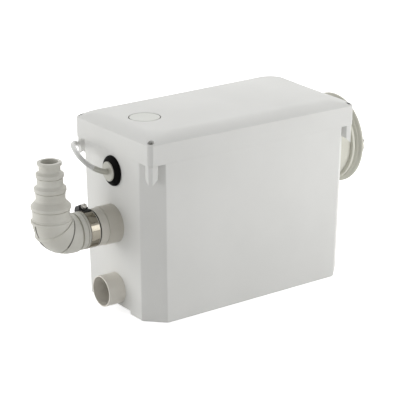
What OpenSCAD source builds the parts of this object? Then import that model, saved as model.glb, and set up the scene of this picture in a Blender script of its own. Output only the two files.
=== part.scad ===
// Macerator toilet pump: a floor-standing moulded tank with a lift-off lid, a rear WC sleeve,
// a low waste inlet and a stepped discharge elbow, with the cutter, pump and switch inside.
// Millimetres. X runs from the discharge end to the WC end, the front faces -Y, Z is up.

/* [Tank] */
// length over the end walls at the lid seam
tank_l = 334; // [300:1:380]
// depth over the front and back walls at the lid seam
tank_d = 176; // [160:1:210]
// height of the lid seam above the floor
tank_h = 215; // [195:1:240]
// wall thickness of the moulding
wall = 3.5; // [3:0.1:5]
// how far each wall leans in by the floor
draft = 3; // [0:0.5:6]
// leg of the vertical corner chamfers
corner_cut = 24; // [18:1:30]
// rounding under the end walls
foot_round = 7; // [3:0.5:10]
// height of the channel between the two skid feet
foot_h = 6; // [4:0.5:7]
// width of that channel at its top
foot_gap = 68; // [50:1:90]
// thickness of the tank floor
floor_t = 3; // [2.5:0.1:5]
// height of the inner rim above the seam
rim_h = 18; // [12:0.5:22]
// thickness of the inner rim
rim_t = 3; // [2:0.1:4]

/* [Lid] */
// height of the lid skirt
skirt_h = 25.8; // [20:0.2:32]
// thickness of the lid skirt
skirt_t = 2.8; // [2:0.1:4]
// width of the rolled edge, seen from above
crown_w = 24; // [15:1:30]
// height of the rolled edge
crown_h = 11; // [6:0.5:16]
// leg of the lid corner chamfers
lid_cut = 5.5; // [3:0.5:9]
// thickness of the flat lid top
lid_top_t = 3.5; // [2.5:0.1:5]
// gap at the seam between lid and tank
seam = 0.3; // [0.2:0.1:1]
// gap between the rim and the skirt
rim_gap = 0.4; // [0.3:0.1:1]
// thickness of the pressed lid seal
seal_t = 3; // [2:0.1:5]
// distance of a lid screw from both faces of its corner
screw_in = 6.8; // [6:0.1:9]
// radius of the lid screw shank
screw_r = 2; // [1.5:0.1:2.5]
// radius of the lid screw head
screw_head_r = 3.7; // [3:0.1:4]
// length of the corner screw posts below the seam
post_h = 25; // [18:1:35]

/* [Vent] */
// distance of the vent cap from the middle of the lid
vent_x = 115; // [80:1:125]
// radius of the vent cap
vent_r = 21.3; // [16:0.1:26]
// width of the groove around the cap
vent_gap = 0.5; // [0.3:0.1:1.5]
// thickness of the cap rim
vent_cap_t = 5; // [3:0.1:6]
// height of the odour filter
filter_h = 9; // [5:0.5:10]

/* [Discharge] */
// height of the discharge axis
outlet_z = 118; // [100:1:135]
// outer radius of the socket on the tank
socket_r = 25.5; // [23:0.1:30]
// how far the socket stands out of the end wall
socket_len = 19.3; // [14:0.1:26]
// outer radius of the valve collar
valve_r = 24.6; // [23:0.1:28]
// length of the visible valve collar
valve_len = 11.6; // [8:0.1:16]
// outer radius of the valve nose, inside the elbow
nose_r = 20.4; // [19:0.1:22]
// length of the valve nose
nose_len = 25; // [20:0.5:30]
// radius of the flap chamber
chamber_r = 17.4; // [17:0.1:18]
// radius of the valve seat
seat_r = 12.5; // [9:0.1:13]
// gap between the valve nose and the elbow cuff
swivel_gap = 0.25; // [0.1:0.05:0.5]
// outer radius of the elbow cuff
cuff_r = 24; // [22.5:0.1:28]
// outer radius of the elbow bend
elbow_r = 25; // [23:0.1:28]
// inner radius of the elbow bend
elbow_bore = 20; // [17:0.1:21]
// radius of the bend, at the middle of the pipe
bend_r = 25.5; // [25.5:0.5:40]
// straight length of the elbow between its shoulder and its bend
elbow_run = 5.5; // [3:0.5:12]
// largest radius of the ring under the nozzle
ring_r = 26; // [24:0.1:30]
// height of the nozzle mouth above the discharge axis
nozzle_h = 100; // [92:1:125]
// outer radius of the top nozzle step
step1_r = 13.7; // [13.5:0.1:15]
// outer radius of the middle nozzle step
step2_r = 16.8; // [16.5:0.1:18]
// outer radius of the lower nozzle step
step3_r = 19.3; // [19:0.1:21]
// bore radius of the top step, for 22 mm pipe
pipe1_r = 11; // [10:0.1:11.5]
// bore radius of the middle step, for 28 mm pipe
pipe2_r = 14; // [13:0.1:14.2]
// bore radius of the lower step, for 32 mm pipe
pipe3_r = 16.2; // [15.5:0.1:16.5]

/* [Low inlet] */
// height of the low inlet axis
inlet_z = 29.2; // [29.2:0.2:40]
// offset of the low inlet axis from the middle, to the front
inlet_y = -4; // [-12:0.5:12]
// bore radius of the spigot, for 40 mm waste pipe
inlet_bore = 19.2; // [17:0.1:19.3]
// outer radius of the spigot
inlet_r = 20.9; // [20:0.1:21.5]
// how far the spigot stands out of the end wall
inlet_len = 22; // [16:0.5:40]

/* [WC sleeve] */
// distance of the WC inlet axis below the lid seam
wc_drop = 44.3; // [44:0.1:47]
// radius of the inlet throat through the wall
throat_r = 39.5; // [34:0.5:39.5]
// bore radius of the sleeve, for a WC outlet
wc_bore = 50; // [47:0.5:51]
// radius of the first band
band_a_r = 54; // [53:0.5:58]
// radius of the middle band
band_b_r = 58; // [55:0.5:62]
// radius of the flange
flange_r = 63; // [60:0.5:70]
// how far the sleeve stands out of the end wall
wc_len = 48.5; // [48:0.5:70]

/* [Hose clamps] */
// thickness of a clamp band
band_t = 0.8; // [0.6:0.1:1.2]
// width of the elbow clamp band
clamp_w = 12.5; // [9:0.5:13]
// width of the sleeve clamp band
wc_clamp_w = 6; // [6:0.5:12]
// radius of a worm screw
worm_r = 2.8; // [2.2:0.1:3]
// angle of the elbow clamp housing, back from the top
clamp_turn = 26; // [0:1:60]

/* [Mains lead] */
// distance of the cable gland below the lid seam
gland_drop = 25; // [23:1:35]
// offset of the cable gland to the front
gland_y = -3; // [-10:0.5:10]
// radius of the rubber grommet
grommet_r = 20; // [17:0.1:21]
// radius of the gland disc
gland_r = 13.8; // [11:0.1:15]
// diameter of the mains lead
lead_d = 6.4; // [5.5:0.1:8]
// outer radius of the coil, at the middle of the lead
coil_r = 47; // [38:0.5:60]
// distance between neighbouring turns and layers
coil_pitch = 7; // [6.9:0.1:9]
// radius of the plug body
plug_r = 18.5; // [16:0.5:21]
// length of the plug pins
pin_len = 19; // [17:0.5:20]

/* [Motor] */
// position of the motor axis along the tank
motor_x = 0; // [-5:1:10]
// height of the motor deck
deck_z = 150; // [145:1:155]
// thickness of the motor deck
deck_t = 5; // [3:0.5:7]
// radius of the motor housing
motor_r = 52; // [46:0.5:52]
// height of the motor housing
motor_h = 67; // [64:1:70]
// radius of the motor shaft
shaft_r = 5; // [4:0.1:5.5]
// running clearance of the shaft
shaft_gap = 0.05; // [0.02:0.01:0.1]
// radius of the rotor
rotor_r = 28; // [22:0.5:32]
// air gap between rotor and stator
air_gap = 0.5; // [0.4:0.1:1]
// height of the rotor and stator packs
pack_h = 36; // [28:1:38]
// outer radius of the ball bearings
bearing_r = 13; // [11:0.1:14]

/* [Cutter and pump] */
// height of the basket floor
basket_z = 52; // [51:1:56]
// height of the basket wall
basket_h = 60; // [45:1:70]
// half of the basket width
basket_y = 71; // [60:1:71]
// gap between the cutter and the basket end
cutter_gap = 1.5; // [1:0.1:4]
// distance of the basket from the WC end
basket_end = 21; // [18:1:40]
// thickness of the basket wall
basket_t = 2.5; // [2:0.1:3.5]
// radius of the basket holes
basket_hole_r = 4; // [2.5:0.1:5]
// sweep radius of the cutter
cutter_r = 58; // [45:1:60]
// outer radius of the pump casing
casing_r = 44; // [40:0.5:46]
// radius of the impeller
impeller_r = 34; // [28:0.5:35]
// number of impeller vanes
vanes = 6; // [4:1:9]
// bore radius of the inner discharge hose
hose_bore = 10; // [9:0.1:10.5]
// outer radius of the inner discharge hose
hose_r = 13; // [12.5:0.1:14]

/* [Level switch] */
// distance of the level switch from the discharge end
switch_end = 57; // [53:1:67]
// distance of the level switch from the back
switch_in = 36; // [36:1:38]
// half of the terminal box width
terminal_y = 18; // [14:0.5:20]
// outer radius of the pressure bell
bell_r = 16; // [12:0.5:18]
// outer radius of the switch housing
switch_r = 27; // [25:0.5:27]
// stroke of the switch plunger
stroke = 2.5; // [1:0.1:2.5]
// radius of the start capacitor
cap_r = 17.5; // [12:0.5:18]
// height of the start capacitor
cap_h = 55; // [40:1:62]

/* [Hidden] */
$fn = 64;
eps = 0.01;
fit = 0.1;
half_l = tank_l / 2;
half_d = tank_d / 2;
floor_z = foot_h + floor_t;
rim_in = skirt_t + rim_gap;
rim_top = tank_h + rim_h;
lid_ledge = rim_top + seal_t + 0.2;
skirt_top = tank_h + skirt_h;
lid_top = skirt_top + crown_h;
screw_seat = skirt_top + 0.4;
// the origin is under the middle of the whole object
bend = max(bend_r, elbow_r + 0.3);
nozzle_x = half_l + socket_len + valve_len + nose_len + 3.6 + elbow_run + bend;
sleeve_end = max(wc_len, wc_clamp_w + 42);
shift = (nozzle_x + ring_r - half_l - sleeve_end) / 2;
// inner fits of the discharge
seat_h = socket_len + 4.7;
pivot_h = seat_h + 2.5;
pivot_up = chamber_r - 2.8;
flap_r = min(chamber_r - 3.4, seat_r + 1.5);
cuff_h = socket_len + valve_len + 0.3;
// the nozzle goes up with a wide bend
stem_up = max(0, bend - 31);
shoulder_h = cuff_h + nose_len + 3.3;
bend_h = shoulder_h + elbow_run;
// the worm of the sleeve clamp stays inside its housing
wc_worm = min(worm_r, wc_clamp_w / 2 - 1.1);
// inner fits of the low inlet
wall_at_inlet = wall_x(inlet_z);
flap_x = -(wall_at_inlet - wall - 0.6);
flap2_r = min(inlet_bore + 0.6, inlet_z - floor_z - 0.4);
pivot2_up = flap2_r + 2.7;
pivot2_x = flap_x + 2.8;
// places that follow the tank
wc_z = tank_h - wc_drop;
gland_z = tank_h - gland_drop;
switch_x = switch_end - half_l;
switch_y = half_d - switch_in;
terminal_x = 25 - half_l;
// the deck ends in a wall just past the motor flange
motor_flange = motor_r + 8;
deck_wall = motor_x + motor_flange + 2;
deck_x = 17 - half_l;
deck_y = half_d - 8;
deck_screw_at = [for (x = [deck_x + 70, deck_wall - 12], j = [-1, 1]) [x, j * (half_d - 10.5)]];
// the basket reaches from the cutter to the WC end
basket_x1 = motor_x - cutter_r - cutter_gap - basket_t;
basket_x2 = half_l - basket_end;
post_at = [for (x = [basket_x1 + 10, basket_x2 - 10], j = [-1, 1]) [x, j * (basket_y - 11)]];
// end of the pump's hose tail, and the first hose bend
pump_tail_x = motor_x - casing_r - 3;
hose_bend = 25;
hose_x = pump_tail_x - 23;
// motor and shaft levels
motor_z = deck_z + deck_t + 0.2;
motor_top = motor_z + motor_h;
pack_z = motor_z + 17;
low_bearing_z = motor_z + 3;
top_bearing_z = motor_top - 10;
shaft_hole = shaft_r + shaft_gap;
// pump levels
pump_z = 30;
plate_z = floor_z + 4;
casing_z = plate_z + 3.1;
casing_top = basket_z - 3;
impeller_z = casing_z + 4;
// level switch levels
cup_z = deck_z + deck_t + 0.2;
membrane_z = cup_z + 8.9;
button_z = membrane_z + 14;
// lead levels
lead_r = lead_d / 2;
lay1_z = lead_r + 1;
lay2_z = lay1_z + coil_pitch;
coil_in = coil_r - 2.25 * coil_pitch;
coil_x = shift + 30;
coil_y = coil_r + 131;
tail_y = coil_y - coil_r + 0.5 * coil_pitch;
plug_z = plug_r + 0.3;

c_shell = [0.93, 0.93, 0.91];
c_trim = [0.72, 0.70, 0.65];
c_rubber = [0.12, 0.12, 0.12];
c_grey = [0.66, 0.65, 0.62];
c_steel = [0.72, 0.72, 0.73];
c_dark = [0.25, 0.25, 0.26];
c_lead = [0.74, 0.74, 0.72];
c_inner = [0.55, 0.58, 0.62];
c_copper = [0.72, 0.45, 0.25];

// outer half length and half depth of the leaning walls at a height
function wall_x(z) = half_l - draft * (tank_h - z) / tank_h;
function wall_y(z) = half_d - draft * (tank_h - z) / tank_h;
// chamfer leg of an outline set in by s
function cut_at(s) = corner_cut - 0.5858 * s;

module cut_rect(l, d, c) polygon([
  [l / 2 - c, -d / 2], [l / 2, -d / 2 + c], [l / 2, d / 2 - c], [l / 2 - c, d / 2],
  [-l / 2 + c, d / 2], [-l / 2, d / 2 - c], [-l / 2, -d / 2 + c], [-l / 2 + c, -d / 2]]);
module inset_rect(s) cut_rect(tank_l - 2 * s, tank_d - 2 * s, cut_at(s));
module slab(z, l, d, c) translate([0, 0, z]) linear_extrude(eps) cut_rect(l, d, c);
module place() translate([shift, 0, 0]) children();
// child Z points out of the left end wall, child X points up
module on_left(y, z) translate([-half_l, y, z]) rotate([0, -90, 0]) children();
// child Z points out of the right end wall, child X points down
module on_right(y, z) translate([half_l, y, z]) rotate([0, 90, 0]) children();
module at_corners(l, d) for (i = [-1, 1], j = [-1, 1]) translate([i * l, j * d, 0]) children();
module ring(r1, r2, z1, z2) translate([0, 0, z1]) difference() {
  cylinder(r = r2, h = z2 - z1);
  translate([0, 0, -1]) cylinder(r = r1, h = z2 - z1 + 2);
}
module box(x1, x2, y1, y2, z1, z2) translate([x1, y1, z1]) cube([x2 - x1, y2 - y1, z2 - z1]);

// TANK
module tank_outer() hull() {
  for (a = [0, 30, 60, 90]) {
    z = foot_round * (1 - cos(a));
    s = foot_round * (1 - sin(a));
    slab(z, 2 * wall_x(z) - 2 * s, 2 * wall_y(z) - 0.4 * s, corner_cut);
  }
  slab(tank_h - eps, tank_l, tank_d, corner_cut);
}
module tank_inner() hull() {
  slab(floor_z, 2 * (wall_x(floor_z) - wall), 2 * (wall_y(floor_z) - wall), cut_at(wall));
  slab(tank_h + 1, tank_l - 2 * wall, tank_d - 2 * wall, cut_at(wall));
}
module post() mirror_corner() linear_extrude(post_h) polygon([[5.3, 0.8], [12.5, 0.8], [18, 8.5],
  [8.5, 18], [0.8, 12.5], [0.8, 5.3]]);
module mirror_corner() for (i = [0, 1], j = [0, 1]) mirror([i, 0, 0]) mirror([0, j, 0])
  translate([-half_l, -half_d, 0]) children();
module foot_channel() {
  r = foot_h;
  g = foot_gap / 2;
  rotate([90, 0, 90]) translate([0, 0, -half_l - 5]) linear_extrude(tank_l + 10) polygon(concat(
    [for (a = [0:15:90]) [g + r - r * cos(a), r - r * sin(a)]], [[g + r, -1], [-g - r, -1]],
    [for (a = [90:-15:0]) [-g - r + r * cos(a), r - r * sin(a)]]));
}
module tank() color(c_shell) place() difference() {
  union() {
    difference() { tank_outer(); tank_inner(); }
    translate([0, 0, tank_h - 8]) linear_extrude(rim_h + 8) difference() {
      inset_rect(rim_in);
      inset_rect(rim_in + rim_t);
    }
    translate([0, 0, tank_h - post_h]) post();
    for (y = [half_d - 14, -half_d + 2.5])
      box(deck_x + 10, deck_wall - 2, y, y + 11.5, deck_z - 10.3, deck_z - 0.3);
    for (q = post_at) translate([q[0], q[1], floor_z - 1]) cylinder(r = 5, h = basket_z - floor_z + 0.8);
    for (j = [-1, 1]) translate([0, inlet_y + j * 11, inlet_z + pivot2_up])
      box(-wall_at_inlet + 1.5, pivot2_x + 3, -2, 2, -4, 4);
  }
  foot_channel();
  on_left(0, outlet_z) translate([0, 0, -20]) cylinder(r = socket_r + fit, h = 30);
  on_left(gland_y, gland_z) translate([0, 0, -12]) cylinder(r = 14 + fit, h = 22);
  on_left(inlet_y, inlet_z) translate([0, 0, -(half_l - wall_at_inlet + wall + 0.4)])
    cylinder(r = inlet_r + fit, h = 30);
  on_right(0, wc_z) translate([0, 0, -20]) cylinder(r = throat_r + 3 + fit, h = 30);
  at_corners(half_l - screw_in, half_d - screw_in) translate([0, 0, tank_h - post_h + 4])
    cylinder(r = screw_r + fit, h = post_h);
  translate([pivot2_x, inlet_y, inlet_z + pivot2_up]) rotate([90, 0, 0])
    cylinder(r = 1.55, h = 40, center = true);
  for (q = deck_screw_at) translate([q[0], q[1], deck_z - 9]) cylinder(r = 2.1, h = 12);
}

// LID
// one ring of the lid outline: set in by s, corner leg c, rounded by t
corner_steps = 8;
function lid_ring(s, c, t, z) = [for (q = [0:3], j = [0:corner_steps]) let (
  m = [[1, 1], [-1, 1], [-1, -1], [1, -1]][q], f = j / corner_steps, a = 90 * (q + f),
  o = [m[0] * (half_l - s - c), m[1] * (half_d - s - c)],
  e0 = o + c * [cos(90 * q), sin(90 * q)], e1 = o + c * [cos(90 * q + 90), sin(90 * q + 90)],
  line = e0 + (e1 - e0) * f, p = line + (o + c * [cos(a), sin(a)] - line) * t) [p[0], p[1], z]];
module crown() {
  levels = concat([[0, 0, tank_h + seam], [0, 0, skirt_top]],
    [for (a = [15:15:90]) [crown_w * (1 - cos(a)), sin(a), skirt_top + crown_h * sin(a)]]);
  n = 4 * (corner_steps + 1);
  polyhedron([for (v = levels) each lid_ring(v[0], lid_cut + 0.8 * v[0], v[1], v[2])], concat(
    [[for (k = [0:n - 1]) k]],
    [for (i = [0:len(levels) - 2], k = [0:n - 1]) let (k2 = (k + 1) % n) each [
      [i * n + k, (i + 1) * n + k, (i + 1) * n + k2], [i * n + k, (i + 1) * n + k2, i * n + k2]]],
    [[for (k = [n - 1:-1:0]) (len(levels) - 1) * n + k]]));
}
module lid() color(c_shell) place() difference() {
  union() {
    difference() {
      crown();
      translate([0, 0, tank_h - 1]) linear_extrude(lid_ledge - tank_h + 1) inset_rect(skirt_t);
      translate([0, 0, lid_ledge - 1]) linear_extrude(lid_top - lid_top_t - lid_ledge + 1)
        inset_rect(20);
    }
    translate([-vent_x, 0, lid_top - 24]) cylinder(r = vent_r + 4.7, h = 23);
  }
  translate([-vent_x, 0, 0]) {
    translate([0, 0, lid_top - 21]) cylinder(r = vent_r - 1.1, h = 30);
    translate([0, 0, lid_top - vent_cap_t]) cylinder(r = vent_r + vent_gap, h = 20);
    for (a = [0:60:300]) rotate([0, 0, a]) translate([12, 0, lid_top - 30]) cylinder(r = 2.5, h = 20);
    translate([0, 0, lid_top - 30]) cylinder(r = 2.5, h = 20);
  }
  at_corners(half_l - screw_in, half_d - screw_in) {
    translate([0, 0, tank_h - 2]) cylinder(r = screw_r + 0.3, h = 40);
    translate([0, 0, screw_seat]) cylinder(r = screw_head_r + 0.5, h = 20);
  }
}
module lid_seal() color(c_rubber) place() translate([0, 0, rim_top + 0.05]) linear_extrude(seal_t)
  difference() { inset_rect(rim_in); inset_rect(rim_in + rim_t); }
module lid_screws() color(c_dark) place() at_corners(half_l - screw_in, half_d - screw_in) difference() {
  union() {
    translate([0, 0, tank_h - post_h + 6]) cylinder(r = screw_r, h = screw_seat - tank_h + post_h - 5.5);
    translate([0, 0, screw_seat + 0.1]) cylinder(r1 = screw_head_r, r2 = screw_head_r - 0.7, h = 2.6);
  }
  for (a = [45, 135]) translate([0, 0, screw_seat + 2.3]) rotate([0, 0, a])
    cube([4.4, 0.9, 2], center = true);
}
module vent_cap() color(c_shell) place() translate([-vent_x, 0, lid_top]) rotate_extrude() polygon([
  [0, 0], [vent_r - 0.5, 0], [vent_r, -0.5], [vent_r, -vent_cap_t + 0.1], [vent_r - 1.5, -vent_cap_t + 0.1],
  [vent_r - 1.5, -11], [vent_r - 3.5, -11], [vent_r - 3.5, -3], [0, -3]]);
module carbon_filter() color(c_dark) place() translate([-vent_x, 0, lid_top - 20.9])
  cylinder(r = vent_r - 1.4, h = filter_h);

// DISCHARGE
module outlet_socket() color(c_trim) place() on_left(0, outlet_z) rotate_extrude() polygon([
  [22.2, -9], [29.5, -9], [29.5, -6.2], [socket_r, -6.2], [socket_r, socket_len - 0.6],
  [socket_r - 0.6, socket_len], [22.2, socket_len]]);
module valve_body() color(c_trim) place() on_left(0, outlet_z) difference() {
  rotate_extrude() polygon([
    [hose_bore - 2.5, -32], [hose_bore - 0.1, -32], [hose_bore - 0.1, -16], [22, -8],
    [22, socket_len + 0.15], [valve_r, socket_len + 0.15], [valve_r, socket_len + valve_len],
    [nose_r, socket_len + valve_len], [nose_r, socket_len + valve_len + nose_len],
    [chamber_r, socket_len + valve_len + nose_len], [chamber_r, seat_h], [seat_r, seat_h],
    [seat_r, -8], [hose_bore - 2.5, -16]]);
  translate([pivot_up, 0, pivot_h]) rotate([90, 0, 0]) cylinder(r = 1.25, h = 26, center = true);
}
module discharge_flap() color(c_rubber) place() on_left(0, outlet_z) difference() {
  union() {
    translate([0, 0, seat_h + 0.3]) cylinder(r = flap_r, h = 2);
    translate([flap_r - 4, -4, seat_h + 0.3]) cube([pivot_up - flap_r + 4, 8, 2]);
    translate([pivot_up, 0, pivot_h]) rotate([90, 0, 0]) cylinder(r = 2.1, h = 8, center = true);
  }
  translate([pivot_up, 0, pivot_h]) rotate([90, 0, 0]) cylinder(r = 1.25, h = 10, center = true);
}
module flap_pin() color(c_steel) place() on_left(0, outlet_z) translate([pivot_up, 0, pivot_h])
  rotate([90, 0, 0]) cylinder(r = 1.2, h = 24, center = true);
// the bend, from its upright end to its level end
module elbow_bend(r) translate([-nozzle_x + bend, 0, outlet_z + bend]) rotate([90, 0, 0])
  rotate([0, 0, 180]) rotate_extrude(angle = 90) translate([bend, 0]) circle(r = r);
module elbow_stem() {
  top = nozzle_h;
  rotate_extrude() polygon(concat([[0, bend - 5], [ring_r - 0.3, bend - 5], [ring_r, bend - 4.6],
    [ring_r, bend - 1.2], [elbow_r - 1.2, bend + 0.4]], [for (q = [[elbow_r - 1.2, 38.2], [socket_r, 39],
    [socket_r, 42], [socket_r - 0.8, 43], [step3_r + 1, 49], [step3_r, 51], [step3_r, 61],
    [step3_r + 1.2, 62], [step3_r + 1.2, 66.4], [step2_r, 70.5], [step2_r, 79.6],
    [step2_r + 1.2, 80.4], [step2_r + 1.2, 84.6], [step1_r, 88], [step1_r, top - 4.6],
    [step1_r + 1.8, top - 3.6], [step1_r + 1.8, top - 0.8], [step1_r + 1, top], [0, top]])
    q + [0, stem_up]]));
}
module elbow_stem_bore() rotate_extrude() polygon(concat([[0, bend], [elbow_bore, bend]],
  [for (q = [[elbow_bore, 42], [pipe3_r, 47], [pipe3_r, 65], [pipe2_r, 68], [pipe2_r, 83], [pipe1_r, 86],
  [pipe1_r, nozzle_h + 2], [0, nozzle_h + 2]]) q + [0, stem_up]]));
module discharge_elbow() color(c_grey) place() difference() {
  union() {
    elbow_bend(elbow_r);
    translate([-nozzle_x, 0, outlet_z]) elbow_stem();
    on_left(0, outlet_z) rotate_extrude() polygon([
      [0, cuff_h], [cuff_r, cuff_h], [cuff_r, cuff_h + 17.6], [cuff_r + 0.9, cuff_h + 18.2],
      [cuff_r + 0.9, cuff_h + 19.8], [cuff_r, cuff_h + 20.4], [cuff_r, cuff_h + 22],
      [cuff_r + 0.9, cuff_h + 22.6], [cuff_r + 0.9, cuff_h + 24.2], [cuff_r, cuff_h + 24.8],
      [cuff_r, shoulder_h - 0.3], [elbow_r + 0.5, shoulder_h + 0.3], [elbow_r + 0.5, bend_h - 1],
      [elbow_r, bend_h], [0, bend_h]]);
  }
  union() {
    elbow_bend(elbow_bore);
    translate([-nozzle_x, 0, outlet_z]) elbow_stem_bore();
    on_left(0, outlet_z) rotate_extrude() polygon([
      [0, cuff_h - 1], [nose_r + swivel_gap, cuff_h - 1], [nose_r + swivel_gap, shoulder_h - 3],
      [elbow_bore, shoulder_h - 2.4], [elbow_bore, bend_h], [0, bend_h]]);
  }
}
module elbow_clamp_band() color(c_steel) place() on_left(0, outlet_z)
  ring(cuff_r + fit, cuff_r + fit + band_t, cuff_h + 2.2, cuff_h + 2.2 + clamp_w);
// a worm housing stands on a band: child X is radial, child Y runs along the screw
module worm_housing(r, w, worm) difference() {
  translate([r + 0.15, -7, -w / 2]) cube([7, 14, w]);
  translate([r + 3.8, 0, 0]) rotate([90, 0, 0]) cylinder(r = worm + 0.1, h = 20, center = true);
}
module worm_screw(r, worm) translate([r + 3.8, 0, 0]) rotate([90, 0, 0]) difference() {
  union() {
    translate([0, 0, -9]) cylinder(r = worm, h = 18);
    translate([0, 0, 7.3]) cylinder(r = worm + 0.9, h = 4.7, $fn = 6);
  }
  translate([0, 0, 12]) cube([9, 1, 2.4], center = true);
}
module on_elbow_clamp() on_left(0, outlet_z) translate([0, 0, cuff_h + 2.2 + clamp_w / 2])
  rotate([0, 0, clamp_turn]) children();
module elbow_clamp_housing() color(c_dark) place() on_elbow_clamp()
  worm_housing(cuff_r + fit + band_t, clamp_w + 0.6, worm_r);
module elbow_clamp_screw() color(c_steel) place() on_elbow_clamp()
  worm_screw(cuff_r + fit + band_t, worm_r);

// LOW INLET
module inlet_spigot() color(c_trim) place() on_left(inlet_y, inlet_z)
  ring(inlet_bore, inlet_r, -(half_l - wall_at_inlet + wall), inlet_len);
module inlet_flap() color(c_rubber) place() translate([0, inlet_y, inlet_z]) difference() {
  union() {
    translate([flap_x, 0, 0]) rotate([0, 90, 0]) cylinder(r = flap2_r, h = 2);
    box(flap_x, flap_x + 2, -5, 5, flap2_r - 6, pivot2_up);
    translate([pivot2_x, 0, pivot2_up]) rotate([90, 0, 0]) cylinder(r = 2.9, h = 16, center = true);
  }
  translate([pivot2_x, 0, pivot2_up]) rotate([90, 0, 0]) cylinder(r = 1.55, h = 20, center = true);
}
module inlet_flap_pin() color(c_steel) place() translate([pivot2_x, inlet_y, inlet_z + pivot2_up])
  rotate([90, 0, 0]) cylinder(r = 1.5, h = 27, center = true);

// WC SLEEVE
module wc_collar() color(c_trim) place() on_right(0, wc_z) rotate_extrude() polygon([
  [throat_r, -7], [throat_r + 3, -7], [throat_r + 3, 0.6], [wc_bore, 0.6], [wc_bore, 22],
  [wc_bore - 3, 22], [wc_bore - 3, 4], [throat_r, 3.6]]);
module wc_gaiter() color(c_trim) place() on_right(0, wc_z) rotate_extrude() polygon([
  [wc_bore + 0.2, 2], [band_a_r - 0.8, 2], [band_a_r, 2.8], [band_a_r, 25.7], [band_a_r - 0.8, 26.5],
  [band_a_r - 1.6, 26.5], [band_a_r - 1.6, 28.4], [band_b_r - 0.8, 28.4], [band_b_r, 29.2],
  [band_b_r, 32.2], [band_b_r - 0.8, 33], [band_a_r - 0.6, 33], [band_a_r - 0.6, 34.2],
  [flange_r - 1, 34.2], [flange_r, 35.2], [flange_r, 38.5], [flange_r - 1, 39.5],
  [wc_bore + 3.5, 39.5], [wc_bore + 3.5, sleeve_end - 1.6], [wc_bore + 1.9, sleeve_end],
  [wc_bore, sleeve_end], [wc_bore, 27.5],
  [wc_bore - 4, 27.5], [wc_bore - 4, 23], [wc_bore + 0.2, 22.4]]);
module wc_clamp_band() color(c_steel) place() on_right(0, wc_z)
  ring(wc_bore + 3.5 + fit, wc_bore + 3.5 + fit + band_t, 40.2, 40.2 + wc_clamp_w);
module on_wc_clamp() on_right(0, wc_z) translate([0, 0, 40.2 + wc_clamp_w / 2])
  rotate([0, 0, -90]) children();
module wc_clamp_housing() color(c_steel) place() on_wc_clamp()
  worm_housing(wc_bore + 3.5 + fit + band_t, wc_clamp_w - 0.4, wc_worm);
module wc_clamp_screw() color(c_steel) place() on_wc_clamp()
  worm_screw(wc_bore + 3.5 + fit + band_t, wc_worm);

// MAINS LEAD
module cable_grommet() color(c_rubber) place() on_left(gland_y, gland_z) rotate_extrude() polygon([
  [6.1, -8], [16, -8], [16, -5], [14, -5], [14, 0.05], [grommet_r, 0.05], [grommet_r, 1.6],
  [grommet_r - 1.4, 3], [gland_r, 3.6], [gland_r, 2.4], [6.1, 2.4]]);
module cable_gland() color(c_grey) place() on_left(gland_y, gland_z) rotate_extrude() polygon([
  [0, -9.5], [6, -9.5], [6, 2.5], [gland_r - 0.1, 2.5], [gland_r - 0.1, 5.2], [gland_r - 1, 6.2],
  [lead_r + 2.4, 6.6], [lead_r + 1.6, 7.4], [0, 7.4]]);
module inner_lead() color(c_lead) place() on_left(gland_y, gland_z) translate([0, 0, -24.8])
  cylinder(r = lead_r, h = 15.2);

// points of the free lead, from the gland to the coil
route = [[-174.5, -3, 190], [-181, -3, 190], [-188, -3, 193], [-195.5, -2.4, 197.4], [-202, 1.5, 203.4],
  [-206, 9.5, 211], [-205.5, 22, 216.6], [-199, 40, 218.2], [-189.5, 55, 215.5], [-179.5, 70, 211],
  [-169, 85, 206], [-157, 96, 199], [-143, 102, 188], [-131, 105, 172], [-122, 107, 150],
  [-115, 108, 125], [-108, 109, 98], [-100, 111, 70], [-90, 114, 44], [-76, 118, 24],
  [-56, 123, 11], [-32, 127.5, 5.5], [-8, 130.4, lay1_z], [12, 131, lay1_z], [30, 131, lay1_z]];
tail_route = [[30, 0, lay2_z], [37, 0, lay2_z], [50, 0, lay2_z + 0.4], [66, 0, lay2_z + 2],
  [80, 0, lay2_z + 4.8], [92, 0, plug_z - 0.8], [100, 0, plug_z], [107, 0, plug_z]];
// one point on the smooth curve through four neighbours
function blend4(a, b, c, d, t) = 0.5 * (2 * b + (c - a) * t + (2 * a - 5 * b + 4 * c - d) * t * t
  + (3 * b - a - 3 * c + d) * t * t * t);
function curve(p, k) = let (n = len(p)) concat([for (i = [0:n - 2], j = [0:k - 1]) blend4(
  i == 0 ? 2 * p[0] - p[1] : p[i - 1], p[i], p[i + 1],
  i == n - 2 ? 2 * p[n - 1] - p[n - 2] : p[i + 2], j / k)], [p[n - 1]]);
// spiral in, climb in the half turn, spiral out
coil_steps = 96;
function coil_radius(u) = coil_in + coil_pitch * abs(u - 2.25);
function coil_level(u) = u < 2 ? lay1_z : u < 2.5
  ? lay1_z + coil_pitch * (1 - cos(360 * (u - 2))) / 2 : lay2_z;
coil_path = [for (i = [0:coil_steps]) let (u = 4 * i / coil_steps, a = 360 * u - 90, r = coil_radius(u))
  [coil_x + r * cos(a), coil_y + r * sin(a), coil_level(u)]];
lead_path = curve([for (q = route) q + [shift, 0, 0]], 2);
tail_path = curve([for (q = tail_route) q + [shift, tail_y, 0]], 2);
function path_len(p) = len(p) < 2 ? 0 : let (d = [for (i = [1:len(p) - 1]) norm(p[i] - p[i - 1])])
  d * [for (v = d) 1];
function unit(v) = v / max(norm(v), 0.000001);
// the end rings stand square to what they meet, which lies along X
function heading(p, i) = let (n = len(p) - 1, v = unit(p[min(i + 1, n)] - p[max(i - 1, 0)]))
  i > 0 && i < n ? v : [sign(v[0]), 0, 0];
function across(v) = unit(cross(v, abs(v[2]) > 0.9 ? [0, 1, 0] : [0, 0, 1]));
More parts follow.
